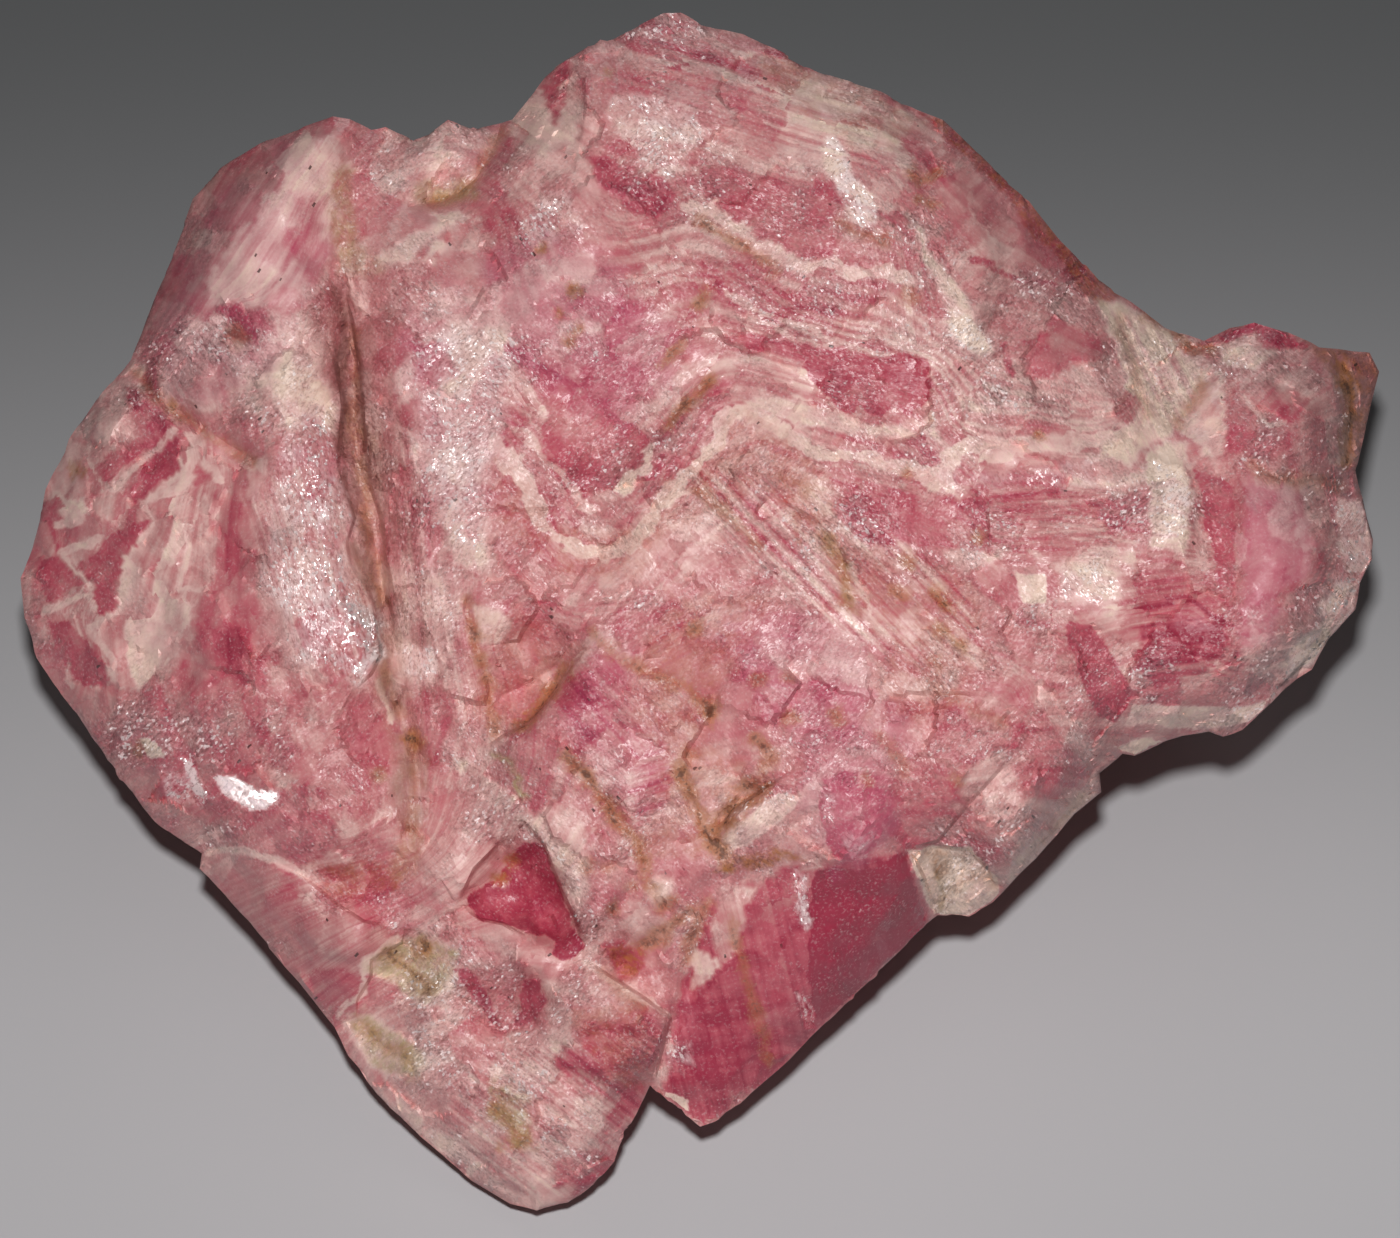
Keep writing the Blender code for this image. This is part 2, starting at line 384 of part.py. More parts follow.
def ledge_height(points, ledge):
    """Height that a ledge adds: up on its left side and down on its right, fading outwards."""
    gap, side, from_end = nearest_on_path(points, ledge.path)
    fade = np.exp(-(gap / ledge.run_out) ** 2)
    return 0.5 * ledge.rise * side * fade * smooth_step(from_end / 2.5)


def crack_height(points, crack):
    """Height that a crack takes away, nothing outside its width."""
    gap, _, from_end = nearest_on_path(points, crack.path)
    return -crack.depth * np.clip(1.0 - gap / crack.half_width, 0.0, 1.0) * smooth_step(
        0.3 + from_end / 2.0)


def bump_height(points, bump):
    """Height of a round lump or pit."""
    gap = np.linalg.norm(points - np.asarray(bump.centre), axis=1)
    return bump.height * np.clip(1.0 - (gap / bump.radius) ** 2, 0.0, 1.0)


class SmoothSurface:
    """A surface through given heights, from one multiquadric at each of them."""

    SOFTNESS = 1.6

    def __init__(self, samples):
        samples = np.asarray(samples, dtype=float)
        self.centres = samples[:, :2]
        self.mean = samples[:, 2].mean()
        self.weights = np.linalg.solve(self.kernel(self.centres), samples[:, 2] - self.mean)

    def kernel(self, points):
        """Multiquadric of the distance from each point to each centre."""
        gap = np.linalg.norm(points[:, None, :] - self.centres[None, :, :], axis=2)
        return np.sqrt(gap * gap + self.SOFTNESS ** 2)

    def height(self, points):
        """Heights w at (u, v) points."""
        return self.kernel(points) @ self.weights + self.mean


def outline_points():
    """The outline as one closed list of (u, v, w), with no step longer than EDGE_SPACING."""
    corners = np.asarray([point for run in OUTLINE.values() for point in run], dtype=float)
    dense = []
    for here, there in zip(corners, np.roll(corners, -1, axis=0)):
        count = max(1, math.ceil(np.linalg.norm((there - here)[:2]) / EDGE_SPACING))
        dense.extend(here + (there - here) * step / count for step in range(count))
    return np.asarray(dense)


def inside_polygon(points, polygon):
    """True for each (u, v) point inside a closed polygon."""
    polygon = np.asarray(polygon, dtype=float)[:, :2]
    inside = np.zeros(len(points), dtype=bool)
    for here, there in zip(polygon, np.roll(polygon, -1, axis=0)):
        crosses = (here[1] > points[:, 1]) != (there[1] > points[:, 1])
        rise = there[1] - here[1]
        cut = here[0] + (points[:, 1] - here[1]) * (there[0] - here[0]) / (rise if rise else 1.0)
        inside ^= crosses & (points[:, 0] < cut)
    return inside


def closed(path):
    """A polygon's path back to its first point."""
    return np.vstack([np.asarray(path)[:, :2], np.asarray(path)[:1, :2]])


def hex_grid(spacing, jitter, salt):
    """Points on a slightly uneven triangular grid that covers the stone."""
    reach_u = np.arange(-60.0, 60.0, spacing)
    reach_v = np.arange(-54.0, 54.0, spacing * math.sqrt(0.75))
    rows = [np.column_stack([reach_u + (row % 2) * spacing / 2, np.full(len(reach_u), v)])
            for row, v in enumerate(reach_v)]
    grid = np.vstack(rows)
    cells = np.round(grid / spacing * 2.0)
    shift = np.column_stack([lattice_values(cells, salt), lattice_values(cells, salt + 1)])
    return grid + shift * jitter * spacing


def resample(path, spacing):
    """A path with even steps of about the given spacing, its own corners kept."""
    path = np.asarray(path, dtype=float)
    result = [path[0]]
    for here, there in zip(path[:-1], path[1:]):
        count = max(1, round(np.linalg.norm(there - here) / spacing))
        result.extend(here + (there - here) * step / count for step in range(1, count + 1))
    return np.asarray(result)


def offset_path(path, distance):
    """A path moved sideways, to its left where the distance is positive."""
    tangent = np.gradient(path, axis=0)
    tangent /= np.linalg.norm(tangent, axis=1)[:, None]
    return path + np.column_stack([-tangent[:, 1], tangent[:, 0]]) * distance


class CleavedSurface:
    """The smooth surface broken into blocks of flat treads with low steps between them."""

    def __init__(self, smooth):
        self.smooth = smooth
        self.seeds = hex_grid(BLOCK_SIZE, 0.3, 50)
        reach = 0.25 * BLOCK_SIZE
        shift_u, shift_v = np.array([reach, 0.0]), np.array([0.0, reach])
        rise_u = smooth.height(self.seeds + shift_u) - smooth.height(self.seeds - shift_u)
        rise_v = smooth.height(self.seeds + shift_v) - smooth.height(self.seeds - shift_v)
        self.slope = np.column_stack([rise_u, rise_v]) / (2.0 * reach)
        for axis in (0, 1):
            self.slope[:, axis] += CLEAVAGE_TILT * lattice_values(np.round(self.seeds), 60 + axis)
        self.level = smooth.height(self.seeds)

    def height(self, points):
        """Heights w at (u, v) points."""
        block = np.linalg.norm(points[:, None] - self.seeds[None], axis=2).argmin(axis=1)
        offset = points - self.seeds[block]
        plane = self.level[block] + (self.slope[block] * offset).sum(axis=1)
        steps = (self.smooth.height(points) - plane) / CLEAVAGE_STEP + 0.5
        tread = np.floor(steps)
        riser = smooth_step((steps - tread - 1.0) / RISER_SHARE + 1.0)
        return plane + (tread + riser) * CLEAVAGE_STEP


def face_height(points, surface):
    """Height w of the finished face at (u, v) points."""
    height = surface.height(points)
    for ledge in LEDGES:
        height += ledge_height(points, ledge)
    for crack in CRACKS:
        height += crack_height(points, crack)
    for bump in BUMPS:
        height += bump_height(points, bump)
    return height + LUMP_HEIGHT * value_noise(points, LUMP_SIZE, 3)


def floor_height(points):
    """Height w at which the resting plane lies under each (u, v) point."""
    lean = math.radians(FACE_LEAN_DEG)
    climb = points[:, 1] * math.sin(lean)
    return -(FACE_HEIGHT + climb) / (math.cos(lean) - climb / FLARE_DISTANCE)


def underside_height(points, outline):
    """Height w of the underside: the resting plane, and rough walls from it to the outline."""
    rim_gap = np.linalg.norm(points[:, None, :] - outline[None, :, :2], axis=2)
    rim_weight = 1.0 / (rim_gap + RIM_BLUR) ** 3
    rim = (rim_weight @ outline[:, 2]) / rim_weight.sum(axis=1)
    to_rim, _, _ = nearest_on_path(points, closed(outline))
    to_base, _, _ = nearest_on_path(points, closed(RESTING_FACE))
    share = to_rim / (to_rim + to_base)
    share = np.where(inside_polygon(points, RESTING_FACE), 1.0, share)
    floor = floor_height(points)
    wall = rim + (floor - rim) * share ** WALL_FULLNESS
    wall_places = points + wall[:, None] * WALL_SKEW
    lumps = WALL_LUMP_HEIGHT * value_noise(wall_places, WALL_LUMP_SIZE, 11)
    lumps += 0.4 * WALL_LUMP_HEIGHT * value_noise(wall_places, 0.4 * WALL_LUMP_SIZE, 12)
    return wall + 4.0 * share * (1.0 - share) * lumps


def triangulate(points, loops, paths):
    """Constrained triangles over (u, v) points inside the first loop."""
    vertices = [tuple(point) for point in points]
    edges = []
    for path in [closed(loop) for loop in loops] + paths:
        first = len(vertices)
        vertices.extend(tuple(point) for point in path[:, :2])
        edges.extend((first + step, first + step + 1) for step in range(len(path) - 1))
    found, _, faces, _, _, _ = delaunay_2d_cdt(vertices, edges, [], 0, 1e-4)
    found = np.asarray([tuple(vertex) for vertex in found])
    faces = np.asarray(faces)
    corners = found[faces]
    side, other = corners[:, 1] - corners[:, 0], corners[:, 2] - corners[:, 0]
    area = 0.5 * (side[:, 0] * other[:, 1] - side[:, 1] * other[:, 0])
    keep = inside_polygon(corners.mean(axis=1), loops[0]) & (area > 1e-5)
    return found, faces[keep]


def clear_of(points, paths, gap):
    """The points that lie at least a gap away from every path."""
    keep = np.ones(len(points), dtype=bool)
    for path in paths:
        keep &= nearest_on_path(points, path)[0] > gap
    return points[keep]


def runs_inside(line, outline, gap):
    """The stretches of a line that stay inside the outline by at least a gap."""
    keep = inside_polygon(line, outline) & (nearest_on_path(line, closed(outline))[0] > gap)
    breaks = np.flatnonzero(np.diff(keep.astype(int))) + 1
    runs = np.split(np.arange(len(line)), breaks)
    return [line[run] for run in runs if keep[run[0]] and len(run) > 1]


def face_mesh(outline, surface):
    """Vertices (u, v, w) and triangles of the face."""
    lines = []
    for ledge in LEDGES:
        path = resample(ledge.path, FACE_SPACING)
        lines += [offset_path(path, SCARP_HALF_WIDTH), offset_path(path, -SCARP_HALF_WIDTH)]
    for crack in CRACKS:
        path = resample(crack.path, FACE_SPACING)
        lines += [path, offset_path(path, crack.half_width), offset_path(path, -crack.half_width)]
    lines = [run for line in lines for run in runs_inside(line, outline, 0.6)]
    grid = hex_grid(FACE_SPACING, 0.16, 20)
    grid = clear_of(grid[inside_polygon(grid, outline)], lines + [closed(outline)],
                    0.55 * FACE_SPACING)
    flat, faces = triangulate(grid, [outline], lines)
    return np.column_stack([flat, face_height(flat, surface)]), faces


def underside_mesh(outline):
    """Vertices (u, v, w) and triangles of the hidden walls and the resting plane."""
    base = closed(RESTING_FACE)
    rim = closed(outline)
    walls = hex_grid(UNDERSIDE_SPACING, 0.2, 30)
    walls = walls[inside_polygon(walls, outline) & ~inside_polygon(walls, RESTING_FACE)]
    walls = clear_of(walls, [rim, base], 0.4 * UNDERSIDE_SPACING)
    floor = hex_grid(BASE_SPACING, 0.0, 40)
    floor = clear_of(floor[inside_polygon(floor, RESTING_FACE)], [base], 0.4 * BASE_SPACING)
    base_edge = resample(base, UNDERSIDE_SPACING)[:-1]
    flat, faces = triangulate(np.vstack([walls, floor]), [outline, base_edge], [])
    height = underside_height(flat, outline)
    on_base = nearest_on_path(flat, base)[0] < 1e-3
    height = np.where(on_base | inside_polygon(flat, RESTING_FACE), floor_height(flat), height)
    return np.column_stack([flat, height]), faces[:, ::-1]


def to_world(points):
    """World positions in metres of (u, v, w) face points."""
    lean = math.radians(FACE_LEAN_DEG)
    flare = 1.0 - points[:, 2] / FLARE_DISTANCE
    across = points[:, 0] * flare
    along = points[:, 1] * flare
    world = np.column_stack([
        FACE_RIGHT + across,
        FACE_BACK + along * math.cos(lean) - points[:, 2] * math.sin(lean),
        FACE_HEIGHT + along * math.sin(lean) + points[:, 2] * math.cos(lean)])
    return world * MM


def stone_geometry():
    """Vertices in metres and triangles of the closed stone."""
    outline = outline_points()
    heights = [point for group in HEIGHTS.values() for point in group]
    smooth = SmoothSurface(heights + [tuple(point) for point in outline[::2]])
    surface = CleavedSurface(smooth)
    top, top_faces = face_mesh(outline, surface)
    under, under_faces = underside_mesh(outline)
    for sheet in (top, under):
        gap = np.linalg.norm(sheet[:, None, :2] - outline[None, :, :2], axis=2)
        on_rim = gap.min(axis=1) < 1e-3
        sheet[on_rim] = outline[gap.argmin(axis=1)[on_rim]]
    points = np.vstack([top, under])
    faces = np.vstack([top_faces, under_faces + len(top)])
    _, first, shared = np.unique(np.round(points, 4), axis=0, return_index=True,
                                 return_inverse=True)
    return to_world(points[first]), shared.reshape(-1)[faces]


def stone_material():
    """Banded pink carbonate with a soft, slightly waxy shine."""
    material = bpy.data.materials.new("banded_rhodochrosite")
    material.use_nodes = True
    shader = material.node_tree.nodes["Principled BSDF"]
    shader.inputs["Base Color"].default_value = (0.58, 0.19, 0.21, 1.0)
    shader.inputs["Roughness"].default_value = 0.42
    shader.inputs["Metallic"].default_value = 0.0
    return material


def build_stone():
    """The whole stone as one closed object."""
    vertices, faces = stone_geometry()
    mesh = bpy.data.meshes.new("rhodochrosite_stone")
    mesh.from_pydata(vertices.tolist(), [], faces.tolist())
    mesh.validate()
    mesh.materials.append(stone_material())
    stone = bpy.data.objects.new("rhodochrosite_stone", mesh)
    bpy.context.collection.objects.link(stone)
    return stone


def main():
    """Clear the scene and build the stone."""
    for item in list(bpy.data.objects):
        bpy.data.objects.remove(item)
    build_stone()


main()
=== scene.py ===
"""Looks of the rough rhodochrosite specimen: fine surface, markings, finish, lamps, camera."""

from __future__ import annotations

import logging
import math
from dataclasses import dataclass, field
from enum import Enum
from typing import Any, Sequence, Union

import bpy
import numpy as np
from mathutils import Matrix, Vector


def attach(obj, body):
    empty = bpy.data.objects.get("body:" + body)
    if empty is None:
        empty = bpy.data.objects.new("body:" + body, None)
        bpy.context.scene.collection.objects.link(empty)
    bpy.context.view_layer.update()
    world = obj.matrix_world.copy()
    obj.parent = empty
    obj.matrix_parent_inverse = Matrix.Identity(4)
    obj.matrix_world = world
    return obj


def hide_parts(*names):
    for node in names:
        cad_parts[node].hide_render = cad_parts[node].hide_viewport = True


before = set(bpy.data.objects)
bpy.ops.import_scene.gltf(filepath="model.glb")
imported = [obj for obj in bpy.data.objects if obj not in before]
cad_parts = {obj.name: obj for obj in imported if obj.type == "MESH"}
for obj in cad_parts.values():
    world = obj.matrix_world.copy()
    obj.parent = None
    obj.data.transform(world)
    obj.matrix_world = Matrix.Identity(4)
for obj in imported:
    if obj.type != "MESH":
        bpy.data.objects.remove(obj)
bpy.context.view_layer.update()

LOG = logging.getLogger("rhodochrosite")
MM = 0.001
Path = Sequence[tuple[float, float]]
Number = Union[float, "Socket"]
Array = np.ndarray
Shade = tuple[int, int, int]
Triple = tuple[float, float, float]


# ---- face coordinates ----
@dataclass(frozen=True)
class FaceFrame:
    """Coordinates in millimetres on the broken face: u right, v up the face, w out of it."""

    lean_deg: float = 32.0
    right: float = -0.36
    back: float = -9.35
    height: float = 34.0
    flare_distance: float = 700.0

    @property
    def axes(self) -> Array:
        """Directions of the face's coordinates.

        Returns:
            Unit vectors of u, v and w as rows.
        """
        lean = math.radians(self.lean_deg)
        return np.array([[1.0, 0.0, 0.0],
                         [0.0, math.cos(lean), math.sin(lean)],
                         [0.0, -math.sin(lean), math.cos(lean)]])

    @property
    def origin(self) -> Array:
        """The face's centre in millimetres."""
        return np.array([self.right, self.back, self.height])

    def to_face(self, world: Array) -> Array:
        """Face coordinates of world points.

        Args:
            world: positions in metres, one row each.

        Returns:
            Rows of (u, v, w) in millimetres.
        """
        local = (world / MM - self.origin) @ self.axes.T
        flare = 1.0 - local[:, 2] / self.flare_distance
        return np.column_stack([local[:, 0] / flare, local[:, 1] / flare, local[:, 2]])

    def to_world(self, face: Array) -> Array:
        """World positions of points on the face.

        Args:
            face: rows of (u, v, w) in millimetres.

        Returns:
            Positions in metres, one row each.
        """
        flare = 1.0 - face[:, 2] / self.flare_distance
        local = np.column_stack([face[:, 0] * flare, face[:, 1] * flare, face[:, 2]])
        return (local @ self.axes + self.origin) * MM


# ---- repeatable noise ----
def ease(value: Array) -> Array:
    """Smooth step from 0 to 1."""
    value = np.clip(value, 0.0, 1.0)
    return value * value * (3.0 - 2.0 * value)


def cell_value(cells: Array, salt: int) -> Array:
    """One repeatable value for each cell.

    Args:
        cells: rows of 2 or 3 whole numbers.
        salt: picks one of many patterns.

    Returns:
        Values between -1 and 1.
    """
    factors = np.array([127.1, 311.7, 74.7])[:cells.shape[1]]
    mixed = np.sin(cells @ factors + salt * 43.3) * 43758.5453
    return 2.0 * (mixed - np.floor(mixed)) - 1.0


def lumps(points: Array, size: float, salt: int) -> Array:
    """Smooth random values between -1 and 1.

    Args:
        points: rows of 2 or 3 coordinates in millimetres.
        size: size of one lump in millimetres.
        salt: picks one of many patterns.

    Returns:
        One value for each row.
    """
    scaled = points / size
    corner = np.floor(scaled)
    blend = ease(scaled - corner)
    total = np.zeros(len(points))
    for code in range(2 ** points.shape[1]):
        step = np.array([(code >> axis) & 1 for axis in range(points.shape[1])])
        weight = np.prod(np.where(step, blend, 1.0 - blend), axis=1)
        total += weight * cell_value(corner + step, salt)
    return total


def near(points: Array, path: Path, reach: float) -> Array:
    """Which points lie within this many millimetres of the box round a path."""
    return np.all((points > np.min(path, axis=0) - reach)
                  & (points < np.max(path, axis=0) + reach), axis=1)


def path_distance(points: Array, path: Path) -> Array:
    """Distance from points to a path.

    Args:
        points: rows of (u, v).
        path: the path's corners in order.

    Returns:
        Millimetres, one value for each point.
    """
    corners = np.asarray(path, dtype=float)
    best = np.full(len(points), np.inf)
    for start, stop in zip(corners[:-1], corners[1:]):
        along = stop - start
        share = np.clip((points - start) @ along / max(along @ along, 1e-9), 0.0, 1.0)
        gap = points - start - share[:, None] * along
        best = np.minimum(best, np.hypot(gap[:, 0], gap[:, 1]))
    return best


def polygon_depth(points: Array, polygon: Path) -> Array:
    """Depth inside a closed polygon.

    Args:
        points: rows of (u, v).
        polygon: its corners in order, the first not repeated.

    Returns:
        Millimetres to the nearest side, negative outside.
    """
    corners = np.asarray(polygon, dtype=float)
    inside = np.zeros(len(points), dtype=bool)
    for here, there in zip(corners, np.roll(corners, -1, axis=0)):
        crosses = (here[1] > points[:, 1]) != (there[1] > points[:, 1])
        rise = there[1] - here[1]
        cut = here[0] + (points[:, 1] - here[1]) * (there[0] - here[0]) / (rise if rise else 1.0)
        inside ^= crosses & (points[:, 0] < cut)
    gap = path_distance(points, np.vstack([corners, corners[:1]]))
    return np.where(inside, gap, -gap)


# ---- markings ----
class Layer(Enum):
    """What a marking changes on the stone."""

    TONE = "tone"        # -1 cream, 0 pink, 1 deepest rose
    STAIN = "stain"      # orange to brown iron stain; a few marks paint shadow in slots and cavities
    OLIVE = "olive"      # greenish yellow dirt and pockets; at the knob's foot it is painted shade
    PEARL = "pearl"      # silvery shine of cleavage planes: glossier, leaned surface and painted highlight
    COOL = "cool"        # magenta tint over the salmon pink
    CRUST = "crust"      # mauve to brown weathered skin; along the gully it is painted shade


@dataclass(frozen=True)
class Patch:
    """An area of the face with one value of a layer."""

    name: str
    layer: Layer
    value: float
    outline: Path
    softness: float = 1.0
    crisp: bool = False

    def weight(self, points: Array) -> Array:
        """How strongly the patch covers each point.

        Args:
            points: rows of (u, v).

        Returns:
            Shares from 0 to 1.
        """
        close = near(points, self.outline, 2.0 * self.softness)
        cover = np.zeros(len(points))
        depth = polygon_depth(points[close], self.outline)
        cover[close] = ease(0.5 + 1.1 * depth / self.softness)
        return cover


@dataclass(frozen=True)
class Vein:
    """A line of the face with one value of a layer."""

    name: str
    layer: Layer
    value: float
    width: float
    path: Path

    def weight(self, points: Array) -> Array:
        """How strongly the vein covers each point.

        Args:
            points: rows of (u, v).

        Returns:
            Shares from 0 to 1.
        """
        close = near(points, self.path, 1.5 * self.width)
        cover = np.zeros(len(points))
        gap = path_distance(points[close], self.path)
        cover[close] = ease(1.35 - gap / self.width)
        return cover


@dataclass(frozen=True)
class GrowthLine:
    """A line that one growth band follows; levels differ by their distance in millimetres."""

    level: float
    path: Path


@dataclass(frozen=True)
class Striation:
    """An area ruled with fine parallel lines.

    The direction is in degrees from +u; the strength is how much the lines change the tone.
    """

    name: str
    direction_deg: float
    strength: float
    outline: Path


TONE, STAIN, OLIVE, PEARL, COOL, CRUST = (Layer.TONE, Layer.STAIN, Layer.OLIVE, Layer.PEARL,
                                          Layer.COOL, Layer.CRUST)

# outlines that two marks share
WEATHERED_RIM: Path = [(18, 42.8), (20.4, 42), (27, 35.8), (33.6, 28.4), (36, 26.8), (34, 25.6),
                       (31, 28.2), (25.6, 35.2)]
CROWN_BANDS: Path = [(6, 47), (15, 44.2), (18, 42), (16, 39), (8, 41), (5.6, 43.6)]
CREAM_FLAKE: Path = [(-7.6, 42.6), (-6.4, 43.8), (-4, 43.6), (-1.4, 42), (-0.2, 40), (-1, 37.8),
                     (-3, 36.8), (-5, 38)]
PEARLY_FLAKE: Path = [(10.2, 39.6), (11.4, 40.2), (14.8, 34), (14.6, 32), (12.8, 33),
                      (10.6, 37.6)]

